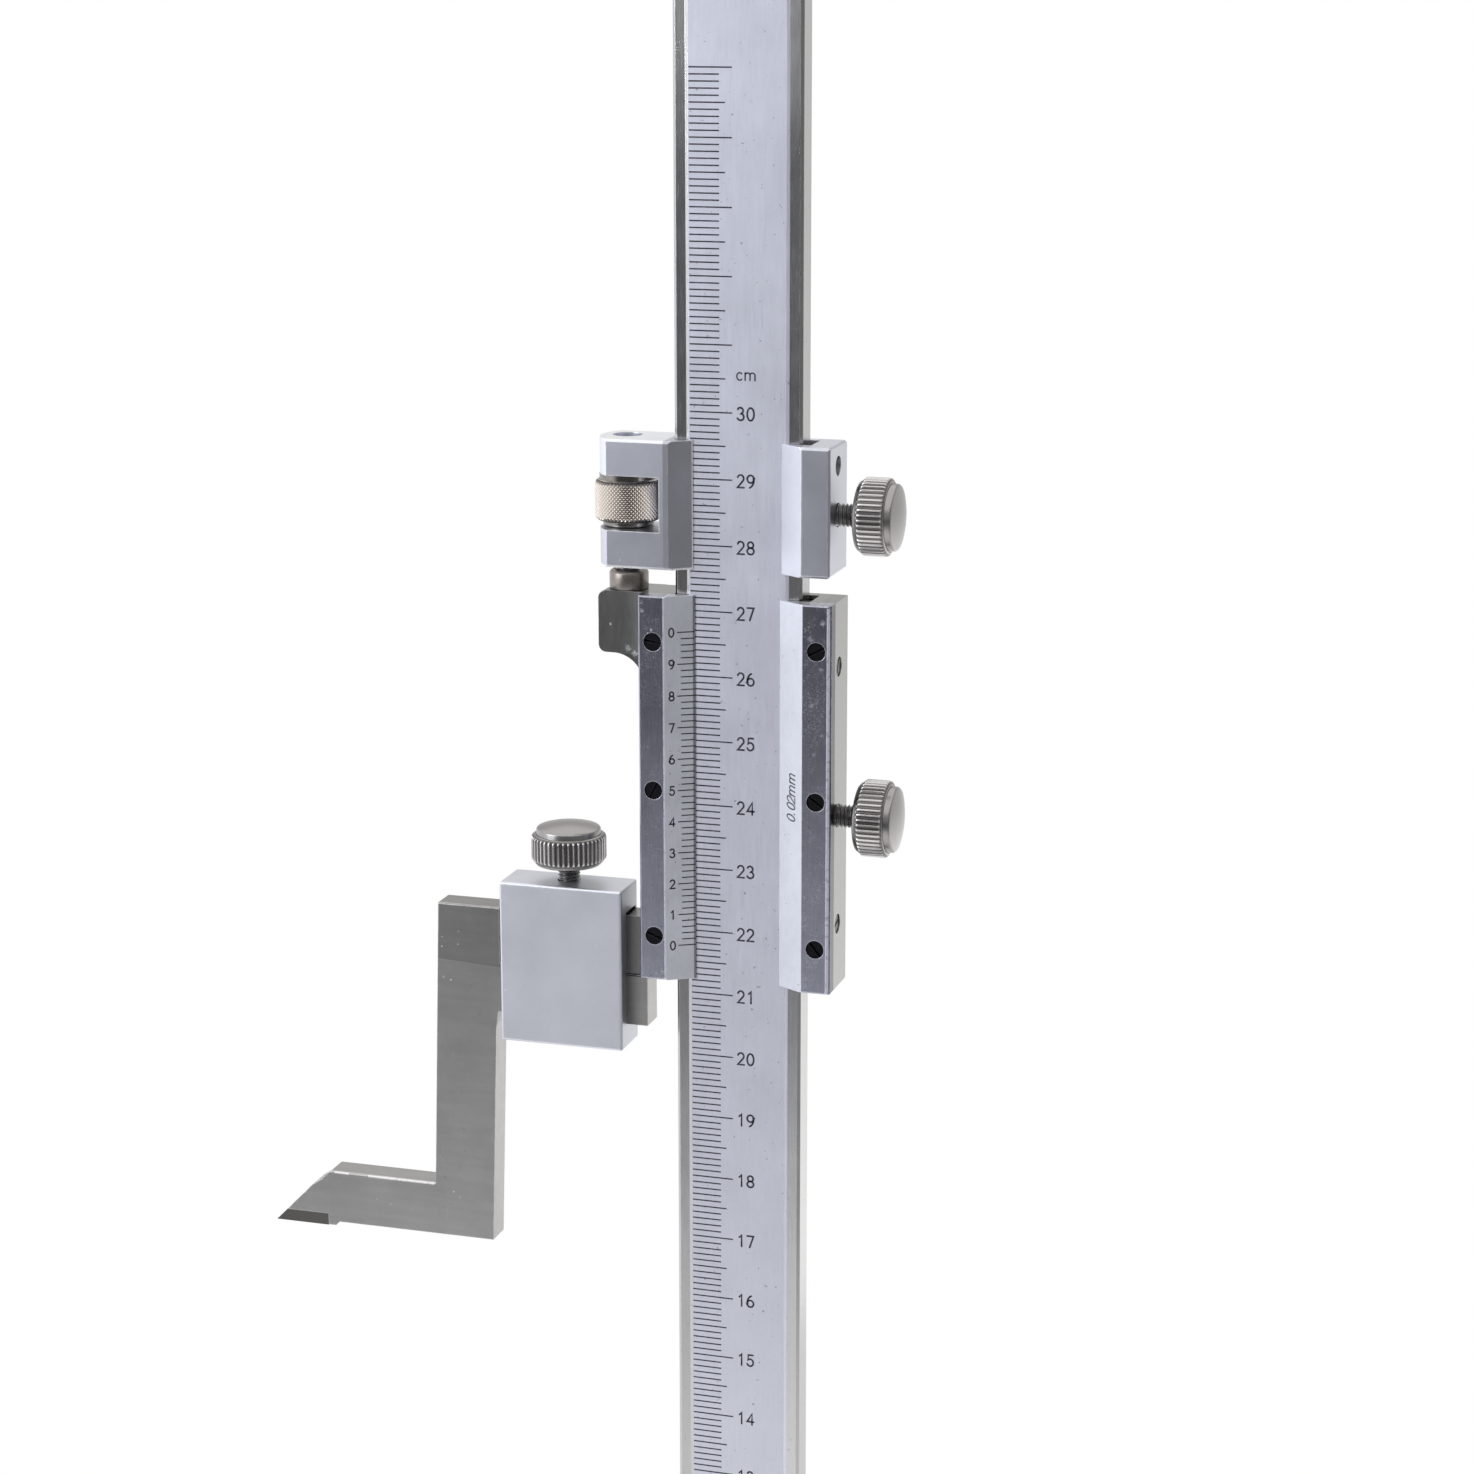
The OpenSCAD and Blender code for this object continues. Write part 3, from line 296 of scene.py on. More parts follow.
    # Colour of scratches, wear and damage, and of the painted highlights on edges and bands.
    bright = [min(1.0, v * edge_tone + 0.08) for v in rgba(colour)[:3]] + [1.0]
    colour_now = g.mix(g.math("MINIMUM", g.math("ADD", worn, g.times(scratch, 0.6)), 1.0),
                       scale.outputs[0], bright)
    pit = g.fade(g.noise(place, 1.6, 2, 0.5, (1, 1, 1), (10, 20, 30), seed + 29), 0.70, 0.76)
    dark = [v * 0.45 for v in rgba(colour)[:3]] + [1.0]
    colour_now = g.mix(g.times(pit, nicks), colour_now, dark)
    if dirt:
        dim = g.fade(g.noise(place, 0.5, 5, 0.7, (1, 1, 1), (40, 0, 12), seed + 31), 0.45, 0.75)
        colour_now = g.mix(g.times(dim, dirt), colour_now, rgba((60, 55, 50)))
    g.put(shader.inputs["Base Color"], colour_now)
    rough_now = g.math("ADD", rough_now, g.swing(fine, grain_rough * 2))
    rough_now = g.math("ADD", rough_now, g.swing(wide, 0.08))
    g.put(shader.inputs["Roughness"], g.math("MAXIMUM", rough_now, 0.06))
    shader.inputs["Metallic"].default_value = 1.0
    if worn != 0.0:
        g.put(shader.inputs["Metallic"], g.math("SUBTRACT", 1.0, g.times(worn, WORN_MATT)))
    height = g.math("SUBTRACT", fine, g.times(scratch, 1.5))
    height = g.math("SUBTRACT", height, g.times(pit, nicks * 2))
    g.relief(shader, height, bump, normal)
    return mat


def paint(name, colour, rough, relief_size, relief_depth, seed):
    """Hammered enamel with metal showing at its worn edges and on the ground underside."""
    mat, g, shader = new_material(name)
    place = g.place()
    z = g.axes(place)[2]
    cells = g.add("ShaderNodeTexVoronoi", feature="SMOOTH_F1")
    g.put(cells.inputs["Vector"], place)
    cells.inputs["Scale"].default_value = relief_size
    cells.inputs["Smoothness"].default_value = 0.6
    wide = g.noise(place, 0.05, 4, 0.6, (1, 1, 1), (10, 20, 0), seed)
    fine = g.noise(place, 3.0, 2, 0.5, seed=seed + 2)
    lumps = g.times(g.math("SUBTRACT", cells.outputs[0], 0.4), 0.35)
    tone = g.math("ADD", g.swing(wide, 0.25), lumps)
    tone = g.math("ADD", tone, 1.0)
    scale = g.add("ShaderNodeVectorMath", operation="SCALE")
    g.put(scale.inputs[0], rgba(colour)[:3])
    g.put(scale.inputs[3], tone)
    soft = g.add("ShaderNodeBevel", samples=4)
    soft.inputs["Radius"].default_value = 0.5 * MM
    true = g.add("ShaderNodeNewGeometry").outputs["Normal"]
    turn = g.math("SUBTRACT", 1.0, g.vec("DOT_PRODUCT", soft.outputs[0], true))
    chips = g.noise(place, 0.6, 4, 0.7, seed=seed + 5)
    worn = g.times(g.fade(turn, 0.01, 0.12), g.fade(chips, 0.42, 0.58))
    worn = g.math("MAXIMUM", worn, g.math("LESS_THAN", z, ENAMEL_Z))
    g.put(shader.inputs["Base Color"], g.mix(worn, scale.outputs[0], rgba((196, 197, 203))))
    g.put(shader.inputs["Metallic"], worn)
    g.put(shader.inputs["Roughness"], g.math("ADD", rough, g.swing(fine, 0.12)))
    height = g.times(cells.outputs[0], g.math("SUBTRACT", 1.0, worn))
    g.relief(shader, height, relief_depth, soft.outputs[0])
    return mat


def beam_land(g, x, y, z):
    """The beam's raised land and its right slope are satin chrome, the rest is ground."""
    front = g.math("LESS_THAN", y, SHOULDER_Y)
    inside = g.math("LESS_THAN", g.math("ABSOLUTE", g.math("SUBTRACT", x, LAND_MID)), LAND_HALF)
    return g.times(front, inside), (213, 214, 224), 0.46


def beam_shade(g, x, y, z):
    """Painted reflection tones: the shoulders are painted brighter towards the top and below the slider,
    and the land's right slope carries a painted highlight.
    """
    high = g.fade(z, 385, 412, 1.0, 1.75)
    low = g.times(g.fade(z, 268, 240, 1.0, 1.35), g.fade(z, 228, 200, 1.0, 0.78))
    shoulder = g.math("GREATER_THAN", g.math("ABSOLUTE", x), LAND_RIGHT)
    slope = g.math("COMPARE", x, LAND_RIGHT - 0.2, 0.2)
    front = g.math("LESS_THAN", y, SHOULDER_Y)
    low = g.times(low, g.blend(g.math("LESS_THAN", x, 0.0), 1.1, 0.91))
    tone = g.blend(shoulder, g.blend(slope, 1.0, 1.35), g.times(high, low))
    return g.blend(front, 1.0, tone)


def carriage_shade(g, x, y, z):
    """Painted reflection tones of the carriage's faces: left front, both bevels and top."""
    front = g.blend(g.math("LESS_THAN", x, -10.81), 1.0, g.fade(z, 332, 347, 1.0, 1.3))
    left = g.blend(g.math("COMPARE", x, -8.7, 2.09), 1.0, 0.82)
    right = g.blend(g.math("COMPARE", x, 8.7, 2.09), 1.0, 1.17)
    top = g.blend(g.math("GREATER_THAN", z, 349.05), 1.0, 1.2)
    return g.times(g.times(front, left), g.times(right, top))


def box_shade(g, x, y, z):
    """Painted shade: the box's right side is darker than its front."""
    return g.blend(g.math("GREATER_THAN", x, -18.05), 1.0, g.fade(z, 256, 261, 0.85, 0.62))


def strip_shade(g, x, y, z):
    """Tones of the plates. Their front strips are painted darker towards their tops as a painted reflection
    and carry real scuffs, more towards their tops; the left bevel is painted lighter as a painted reflection
    with a painted shadow at its inner edge, and the right plate's side is painted dark as painted shade."""
    speck = g.fade(g.noise(g.place(), 4.5, 4, 0.75, seed=51.0), 0.5, 0.66)
    patch = g.fade(g.noise(g.place(), 0.45, 3, 0.6, seed=57.0), 0.42, 0.62)
    worn = g.times(g.times(speck, patch), g.fade(z, 290, 322, 0.25, 1.0))
    worn = g.math("ADD", worn, g.times(g.math("GREATER_THAN", x, 0.0), worn))
    # Painted reflection: the front strips are darker towards their tops.
    tone = g.times(g.fade(z, 330, 262, 1.1, 1.85), g.math("ADD", worn, 1.0))
    # Painted shade on the right plate's side.
    tone = g.times(tone, g.blend(g.math("GREATER_THAN", x, 15.1), 1.0, 0.12))
    # Painted reflection lightens the left bevel, and a painted shadow darkens its inner edge.
    left_bevel = g.blend(g.math("LESS_THAN", x, 0.0), 1.0, g.fade(x, -7.0, -6.8, 1.22, 0.4))
    return g.blend(g.math("LESS_THAN", g.math("ABSOLUTE", x), BEVEL_X), tone, left_bevel)


def plate_bevel(g, x, y, z):
    """The plates' sloping faces are satin, their front strips are ground."""
    return g.math("LESS_THAN", g.math("ABSOLUTE", x), BEVEL_X), (206, 208, 214), 0.42


def seam(g, x, y, z):
    """Painted shade: a dark line along the groove between the arm and the shank, and a painted shadow
    darkening the end inside the box.
    """
    line = g.fade(g.math("ABSOLUTE", g.math("SUBTRACT", z, SEAM_Z)), 0.17, 0.3, 0.05, 1.0)
    box_shadow = g.fade(x, -17.9, -15.2, 0.62, 1.0)
    seamed = g.math("LESS_THAN", g.math("ABSOLUTE", g.math("ADD", x, 26.3)), 11.7)
    return g.blend(seamed, 1.0, g.times(line, box_shadow))


def slider_shade(g, x, y, z):
    """Painted shade along the arm's groove, and painted reflection tones: the lug's front lighter, its top
    darker and the right side darker.
    """
    lug = g.times(g.math("LESS_THAN", x, -15.2), g.math("GREATER_THAN", z, 316.0))
    top = g.blend(g.math("GREATER_THAN", z, LUG_TOP_Z), 1.0, 0.86)
    lug_tone = g.blend(g.math("GREATER_THAN", z, LUG_TOP_Z), 1.6, 0.9)
    side = g.blend(g.math("GREATER_THAN", x, 13.0), 1.0, 0.86)
    tone = g.times(g.times(side, top), g.blend(lug, 1.0, lug_tone))
    return g.times(seam(g, x, y, z), tone)


def leg_shade(g, x, y, z):
    """The scriber's painted shade along the arm's groove, and a darker zone at the leg's top with a lighter
    line along its edge.
    """
    edge = g.math("ADD", z, g.times(g.math("ADD", x, 44.0), 0.06))
    darker_top = g.fade(edge, 264.55, 264.75, 1.0, 0.76)
    line = g.fade(g.math("ABSOLUTE", g.math("SUBTRACT", edge, 264.6)), 0.0, 0.12, 1.18, 1.0)
    on_leg = g.blend(g.math("LESS_THAN", x, -38.9), 1.0, g.times(darker_top, line))
    return g.times(seam(g, x, y, z), on_leg)


def nut_shade(g, x, y, z):
    """The nut's knurl is bright and its two collars are painted dark as painted shade."""
    return g.blend(g.math("COMPARE", z, 339.32, 3.12), 0.4, 1.0)


# Many finishes below carry painted light and shade: tones of their shade functions, painted highlight bands,
# and painted shade in grooves and hollows.
M = {}
M["beam"] = metal("beam_ground_and_satin", (188, 187, 186), 0.22, (9, 9, 0.25), 0.07, 0.08, 0.004,
                  regions=beam_land, shade=beam_shade, seed=2, scratches=0.35, nicks=0.7,
                  spots=((-7.6, 306.5, 0.7, 0.9), (-7.7, 391.5, 0.5, 0.7), (7.7, 312.4, 0.4, 1.0),
                         (2.6, 287.2, 0.3, 0.7), (-3.6, 284.6, 0.25, 0.6), (-6.3, 148.0, 0.4, 0.6)))
M["satin"] = metal("satin_chrome", (206, 208, 216), 0.33, (7, 7, 0.8), 0.05, 0.04, 0.002, seed=3,
                   edge=0.2, edge_tone=2.2, scratches=0.12, nicks=0.15, shade=carriage_shade,
                   bands=(((-7.0, -6.5), (329.7, 349.0), 1.0), ((-22.0, -6.5), (329.6, 329.95), 0.8)),
                   spots=((-17.6, 330.9, 0.3, 0.7), (-17.2, 332.1, 0.25, 0.6)))
M["slider"] = metal("slider_steel", (168, 167, 165), 0.22, (8, 8, 0.4), 0.07, 0.06, 0.003, seed=4,
                    scratches=0.2, shade=slider_shade,
                    spots=((-20.1, 320.5, 0.6, 1.0), (-17.3, 316.9, 1.3, 0.75), (-16.2, 316.2, 1.2, 1.0),
                           (-15.4, 316.9, 0.8, 0.9)))
M["plate"] = metal("plate_steel", (158, 159, 170), 0.2, (10, 10, 0.3), 0.06, 0.10, 0.004, seed=5,
                   regions=plate_bevel, shade=strip_shade, scratches=0.45, blotch=0.12, edge=0.16,
                   edge_tone=2.0, bands=(((14.55, 15.0), (265.6, 325.3), 1.0),
                                         ((-10.98, -10.72), (265.7, 325.6), 0.9)),
                   spots=((-12.75, 320.5, 0.45, 1.0), (-13.3, 320.0, 0.3, 0.8), (-14.2, 323.4, 0.8, 0.5),
                          (-14.3, 324.6, 0.6, 0.5), (-12.4, 316.3, 0.35, 0.6), (-13.4, 302.4, 0.5, 0.35),
                          (-11.5, 283.3, 0.5, 0.45), (-13.9, 278.2, 0.7, 0.3), (-11.3, 267.0, 0.5, 0.6),
                          (-12.3, 266.7, 0.5, 0.5), (13.9, 323.0, 1.1, 0.6), (12.0, 320.5, 1.3, 0.4),
                          (13.8, 316.0, 0.9, 0.4), (12.3, 310.5, 0.9, 0.35), (13.8, 306.0, 0.6, 0.45),
                          (12.6, 303.0, 0.8, 0.3)))
M["box"] = metal("box_chrome", (216, 218, 224), 0.42, (7, 7, 0.8), 0.05, 0.03, 0.002, seed=6,
                 edge=0.14, edge_tone=1.4, scratches=0.1, nicks=0.12, shade=box_shade,
                 spots=((-37.2, 261.6, 0.35, 1.0), (-22.2, 270.2, 0.3, 0.5)))
M["scriber"] = metal("scriber_steel", (173, 171, 169), 0.33, (3, 3, 3), 0.03, 0.015, 0.0006, seed=7,
                     scratches=0.35, blotch=0.1, streaks=0.14, edge=0.16, edge_tone=1.9, shade=leg_shade,
                     bands=(((-62.4, -50.9), (226.8, 227.15), 0.8), ((-68.3, -65.8), (226.85, 227.15), 0.8)),
                     spots=((-48.7, 267.0, 0.35, 1.0), (-48.6, 268.6, 0.3, 0.7), (-47.3, 261.6, 0.5, 0.7),
                            (-48.5, 262.0, 0.5, 0.5), (-45.8, 269.7, 0.35, 0.5), (-46.0, 267.6, 0.35, 0.6),
                            (-47.6, 226.0, 0.35, 0.9), (-46.6, 225.2, 0.3, 0.9), (-61.0, 223.2, 0.4, 0.4),
                            (-58.6, 222.6, 0.4, 0.4), (-55.0, 222.0, 0.4, 0.3)))
KNOB = ((158, 155, 153), 0.28, (5, 5, 5), 0.05, 0.04, 0.001)
M["knob"] = metal("knob_nickel", *KNOB, seed=8, edge=0.05)
# The nut's knurl gets painted shade in its grooves and a painted highlight on its points; nut_shade paints
# shade on its collars.
M["nut"] = metal("nut_steel", (214, 206, 197), 0.2, (5, 5, 5), 0.04, 0.04, 0.001, seed=9, edge=0,
                 scratches=0.0, nicks=0.0, shade=nut_shade,
                 painted_grooves=((*ROD, 0.0), (0, 0, 1), 4.75, 5.06, 0.16, 1.2))
M["collar"] = metal("collar_nickel", (146, 139, 132), 0.32, (4, 4, 4), 0.05, 0.10, 0.003, seed=10,
                    dirt=0.4, edge_tone=1.9)
M["screw"] = metal("screw_steel", (140, 138, 138), 0.3, (6, 6, 6), 0.06, 0.10, 0.004, seed=11,
                   edge=0.04, dirt=0.4, cavity_shade=0.8, cavity_shade_size=0.5, edge_tone=2.0, scratches=0.0)
M["black"] = metal("blackened_steel", (36, 36, 39), 0.38, (6, 6, 6), 0.12, 0.45, 0.012, seed=12,
                   edge=0.05, edge_tone=2.2, nicks=0.2, cavity_shade=0.6)
M["grub"] = metal("grub_steel", (122, 120, 117), 0.34, (6, 6, 6), 0.10, 0.25, 0.008, seed=16,
                  edge=0.05, edge_tone=1.8, cavity_shade=0.8, dirt=0.5)
M["carbide"] = metal("carbide", (112, 109, 105), 0.30, (2, 8, 8), 0.06, 0.12, 0.003, seed=13, edge=0.05)
M["gib"] = metal("gib_brass", (120, 112, 100), 0.34, (8, 8, 0.5), 0.06, 0.08, 0.004, seed=14)
M["base"] = paint("hammered_enamel", (96, 104, 112), 0.34, 0.55, 0.12, seed=15)


def fill_material(name, colour, rough, seed):
    """Matt filling of engraved marks, uneven at its edges."""
    mat, g, shader = new_material(name)
    place = g.place()
    wear = g.noise(place, 2.2, 4, 0.65, seed=seed)
    light = [min(1.0, v * 2.6 + 0.03) for v in rgba(colour)[:3]] + [1.0]
    g.put(shader.inputs["Base Color"], g.mix(g.fade(wear, 0.48, 0.72), rgba(colour), light))
    g.put(shader.inputs["Roughness"], g.blend(wear, rough - 0.1, rough + 0.1))
    shader.inputs["Specular IOR Level"].default_value = 0.3
    g.relief(shader, wear, 0.01, strength=0.6)
    return mat


M["fill"] = fill_material("mark_filling", (44, 44, 52), 0.6, 1.0)
M["fill_vernier"] = fill_material("vernier_filling", (26, 26, 31), 0.6, 4.0)
M["fill_grey"] = fill_material("etched_grey", (72, 72, 78), 0.6, 7.0)


# Mesh helpers.
def piece(name, verts, faces, mat, body, slot_name=None, smooth=None):
    """A mesh in the row frame, from points in millimetres."""
    mesh = bpy.data.meshes.new(name)
    mesh.from_pydata([tuple(c * MM for c in v) for v in verts], [], faces)
    mesh.validate()
    if smooth is not None:
        mesh.polygons.foreach_set("use_smooth", [True] * len(mesh.polygons))
        mesh.set_sharp_from_angle(angle=math.radians(smooth))
    mesh.materials.append(mat)
    mesh.update()
    obj = bpy.data.objects.new(name, mesh)
    scene.collection.objects.link(obj)
    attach(obj, body)
    return obj


class Plane:
    """A flat face that marks lie on: an origin, two directions in it and its outward normal."""

    def __init__(self, origin, right, up):
        self.o, self.u, self.v = Vector(origin), Vector(right).normalized(), Vector(up).normalized()
        self.n = self.u.cross(self.v).normalized()

    def at(self, a, b, t=0.0):
        return self.o + self.u * a + self.v * b + self.n * t


class Marks:
    """Collects strokes as thin closed bars and makes one piece of them."""

    def __init__(self):
        self.verts, self.faces = [], []

    def stroke(self, plane, points, width, closed=False):
        pts = [Vector((p[0], p[1])) for p in points]
        count = len(pts)
        start = len(self.verts)
        half = width / 2
        rows = []
        for i, p in enumerate(pts):
            before = pts[i - 1] if i > 0 or closed else None
            after = pts[(i + 1) % count] if i < count - 1 or closed else None
            d1 = (p - before).normalized() if before is not None else None
            d2 = (after - p).normalized() if after is not None else None
            if d1 is None:
                d1 = d2
            if d2 is None:
                d2 = d1
            side = Vector((-(d1 + d2).y, (d1 + d2).x))
            side = side.normalized() if side.length > 1e-6 else Vector((-d1.y, d1.x))
            reach = half / max(0.5, side.dot(Vector((-d1.y, d1.x))))
            rows.append((p, side, reach))
        if not closed:
            p, side, reach = rows[0]
            d = (pts[1] - pts[0]).normalized()
            rows.insert(0, (p - d * half * 0.85, side, reach * 0.45))
            p, side, reach = rows[-1]
            d = (pts[-1] - pts[-2]).normalized()
            rows.append((p + d * half * 0.85, side, reach * 0.45))
        for p, side, reach in rows:
            a, b = p + side * reach, p - side * reach
            for q, t in ((a, PROUD), (b, PROUD), (b, -SINK), (a, -SINK)):
                self.verts.append(plane.at(q.x, q.y, t))
        total = len(rows)
        for i in range(total if closed else total - 1):
            c, d = start + i * 4, start + ((i + 1) % total) * 4
            for k in range(4):
                m = (k + 1) % 4
                self.faces.append((c + k, c + m, d + m, d + k))
        if not closed:
            last = start + (total - 1) * 4
            self.faces.append((start + 3, start + 2, start + 1, start))
            self.faces.append((last, last + 1, last + 2, last + 3))

    def bar(self, plane, a0, a1, b, width):
        """A straight line from a0 to a1 at b, with square ends."""
        start = len(self.verts)
        for a in (a0, a1):
            for db, t in ((width / 2, PROUD), (-width / 2, PROUD), (-width / 2, -SINK), (width / 2, -SINK)):
                self.verts.append(plane.at(a, b + db, t))
        s = start
        for k in range(4):
            m = (k + 1) % 4
            self.faces.append((s + k, s + m, s + 4 + m, s + 4 + k))
        self.faces.append((s + 3, s + 2, s + 1, s))
        self.faces.append((s + 4, s + 5, s + 6, s + 7))

    def text(self, plane, word, a, b, height, width, stroke, pitch=0.0, slant=0.0):
        """Draws a word from its lower left corner. pitch is the advance to the next letter."""
        for i, letter in enumerate(word):
            x0 = a + i * pitch
            for points, closed in GLYPHS[letter]:
                placed = [(x0 + p[0] * width + slant * p[1] * height, b + p[1] * height) for p in points]
                self.stroke(plane, placed, stroke, closed)

    def done(self, name, mat, body, slot_name):
        piece(name, self.verts, self.faces, mat, body, slot_name)


def arc(cx, cy, rx, ry, a0, a1, steps=10):
    return [(cx + rx * math.cos(math.radians(a0 + (a1 - a0) * i / steps)),
             cy + ry * math.sin(math.radians(a0 + (a1 - a0) * i / steps))) for i in range(steps + 1)]


# The strokes of each letter, one unit high and about one unit wide, as points and whether they close.
GLYPHS = {
    "0": [(arc(0.5, 0.5, 0.5, 0.5, 90, 430, 19), True)],
    "1": [([(0.22, 0.80), (0.58, 1.0), (0.58, 0.0)], False)],
    "2": [(arc(0.48, 0.72, 0.46, 0.28, 165, -38, 10) + [(0.02, 0.0), (1.0, 0.0)], False)],
    "3": [(arc(0.44, 0.755, 0.42, 0.245, 155, -80, 9) + arc(0.46, 0.265, 0.50, 0.265, 80, -158, 11), False)],
    "4": [([(0.76, 0.0), (0.76, 1.0), (0.0, 0.27), (1.04, 0.27)], False)],
    "5": [([(0.92, 1.0), (0.20, 1.0), (0.12, 0.55)] + arc(0.46, 0.32, 0.50, 0.32, 130, -158, 12), False)],
    "6": [(arc(0.86, 0.30, 0.86, 0.72, 105, 180, 6) + arc(0.5, 0.30, 0.5, 0.30, 180, 525, 15), False)],
    "7": [([(0.0, 1.0), (0.98, 1.0), (0.38, 0.0)], False)],
    "8": [(arc(0.5, 0.755, 0.42, 0.245, -90, 270, 13)[:-1], True),
          (arc(0.5, 0.265, 0.5, 0.265, 90, 450, 15)[:-1], True)],
    "9": [(arc(0.14, 0.70, 0.86, 0.72, -75, 0, 6) + arc(0.5, 0.70, 0.5, 0.30, 0, 345, 15), False)],
    "c": [(arc(0.52, 0.5, 0.52, 0.5, 45, 315, 12), False)],
    "m": [([(0.0, 0.0), (0.0, 1.0)], False),
          ([(0.0, 0.70)] + arc(0.25, 0.70, 0.25, 0.30, 170, 0, 7) + [(0.5, 0.0)], False),
          ([(0.5, 0.70)] + arc(0.75, 0.70, 0.25, 0.30, 170, 0, 7) + [(1.0, 0.0)], False)],
    ".": [([(0.0, 0.02), (0.0, 0.08)], False)],
}

# Turned pieces.
class Axis:
    """A turning axis: an origin, its direction and the direction of angle zero."""

    def __init__(self, origin, along, zero):
        self.o, self.a, self.x = Vector(origin), Vector(along), Vector(zero)
        self.y = self.a.cross(self.x)

    def at(self, t, r, turn):
        return self.o + self.a * t + (self.x * math.cos(turn) + self.y * math.sin(turn)) * r


def revolve(axis, rows, turns):
    """Points and faces of a turned solid. rows hold a height and a radius or one radius for each column.

    A first or last row of radius 0 closes at the axis, otherwise the rows make a ring."""
    count = len(turns)
    verts, rings = [], []
    for t, r in rows:
        if r == 0:
            rings.append([len(verts)] * count)
            verts.append(axis.at(t, 0, 0))
            continue
        radii = r if isinstance(r, list) else [r] * count
        rings.append(list(range(len(verts), len(verts) + count)))
        verts += [axis.at(t, radii[i], turns[i]) for i in range(count)]
    loop = rows[0][1] != 0
    faces = []
    for k in range(len(rings) if loop else len(rings) - 1):
        low, high = rings[k], rings[(k + 1) % len(rings)]
        for i in range(count):
            j = (i + 1) % count
            face = [low[i], low[j], high[j], high[i]]
            face = [v for n, v in enumerate(face) if v not in face[:n]]
            if len(face) > 2:
                faces.append(face)
    return verts, faces


def even(count):
    return [2 * math.pi * i / count for i in range(count)]


def knob(name, origin, along, zero, body, node):
    """Ribbed thumb knob with a domed cap."""
    crest, root, slope, back_l, band_l, front_l = 5.85, 5.57, 0.4, 0.72, 3.85, 0.22
    cap_r, depth, bore = 5.0, 6.54, 1.37
    places = (0.0, 0.05, 0.15, 0.25, 0.3, 0.36, 0.42, 0.48, 0.65, 0.82, 0.88, 0.94)
    heights = (0.82, 0.97, 1.0, 0.97, 0.82, 0.55, 0.2, 0.0, -0.06, 0.0, 0.2, 0.55)
    ribs = 45
    turns, shape = [], []
    for i in range(ribs):
        for u, h in zip(places, heights):
            turns.append(2 * math.pi * (i + u) / ribs)
            shape.append(h)

    def ribbed(base, share):
        return [base + (crest - root) * share * h for h in shape]

    band = back_l + band_l
    face = band + front_l
    rows = [(band - 0.05, 0), (band - 0.05, bore), (0.06, bore), (0.0, bore + 0.06)]
    rows += [(0.0, 3.2), (0.0, root - slope - 0.18), (0.04, root - slope - 0.05),
             (0.14, root - slope + 0.06)]
    rows += [(back_l - 0.16, root - 0.08), (back_l, ribbed(root, 0.0)), (back_l + 0.08, ribbed(root, 0.45)),
             (back_l + 0.2, ribbed(root, 0.85)), (back_l + 0.38, ribbed(root, 1.0))]
    rows += [(back_l + band_l * k / 4, ribbed(root, 1.0)) for k in (1, 2, 3)]
    rows += [(band - 0.36, ribbed(root, 1.0)), (band - 0.18, ribbed(root, 0.82)),
             (band - 0.06, ribbed(root, 0.4)), (band, ribbed(root, 0.0)),
             (band + front_l * 0.5, root - slope * 0.42), (face, 5.17), (face - 0.08, 5.12),
             (face - 0.08, cap_r + 0.02), (face, cap_r)]
    rows += [(face + 0.68, cap_r), (face + 0.78, 4.97), (face + 0.9, 4.88), (face + 1.0, 4.74)]
    dome = depth - face - 1.0
    rows += [(depth - dome * (r / 4.74) ** 2, r) for r in (4.4, 3.9, 3.3, 2.6, 1.8, 0.9)]
    rows.append((depth, 0))
    axis = Axis(origin, along, zero)
    # The ribs get painted shade in their grooves and a painted highlight on their crests.
    finish = metal(name + "_nickel", *KNOB, seed=sum(origin), edge=0, scratches=0.1, nicks=0.2,
                   painted_grooves=(origin, along, root - 0.02, crest - 0.04, 0.46, 1.9))
    obj = piece(name, *revolve(axis, rows, turns), finish, body, "bright_steel", 35)
    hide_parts(node)


def thread_rows(t0, t1, pitch, crest, root, turns):
    """Rows of a helical thread between two heights, running out at both ends."""
    profile = ((0.0, 1.0), (0.12, 1.0), (0.45, 0.0), (0.62, 0.0), (1.0, 1.0))

    def height(phase):
        for (a, ha), (b, hb) in zip(profile, profile[1:]):
            if phase <= b:
                return ha + (hb - ha) * (phase - a) / (b - a)
        return 1.0

    count = max(2, round((t1 - t0) / pitch * 8))
    rows = []
    for k in range(count + 1):
        t = t0 + (t1 - t0) * k / count
        out = min(1.0, (t - t0) / (0.5 * pitch), (t1 - t) / (0.5 * pitch))
        rows.append((t, [root + (crest - root) * height((t / pitch - a / (2 * math.pi)) % 1.0) * out
                         for a in turns]))
    return rows


def clamp_screw(name, origin, along, zero, length, body, node):
    """Screw from the pad to inside the knob: a helical thread and a plain neck."""
    crest, root, neck, neck_l, inside = 1.75, 1.43, 1.35, 0.7, 4.1
    turns = even(36)
    end = length - neck_l
    rows = [(1.22, 0), (1.22, 1.2)] + thread_rows(1.3, end, 0.6, crest, root, turns)
    rows += [(end + 0.02, neck), (length + inside, neck), (length + inside, 0)]
    obj = piece(name, *revolve(Axis(origin, along, zero), rows, turns), M["screw"], body, "screw_steel", 40)
    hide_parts(node)


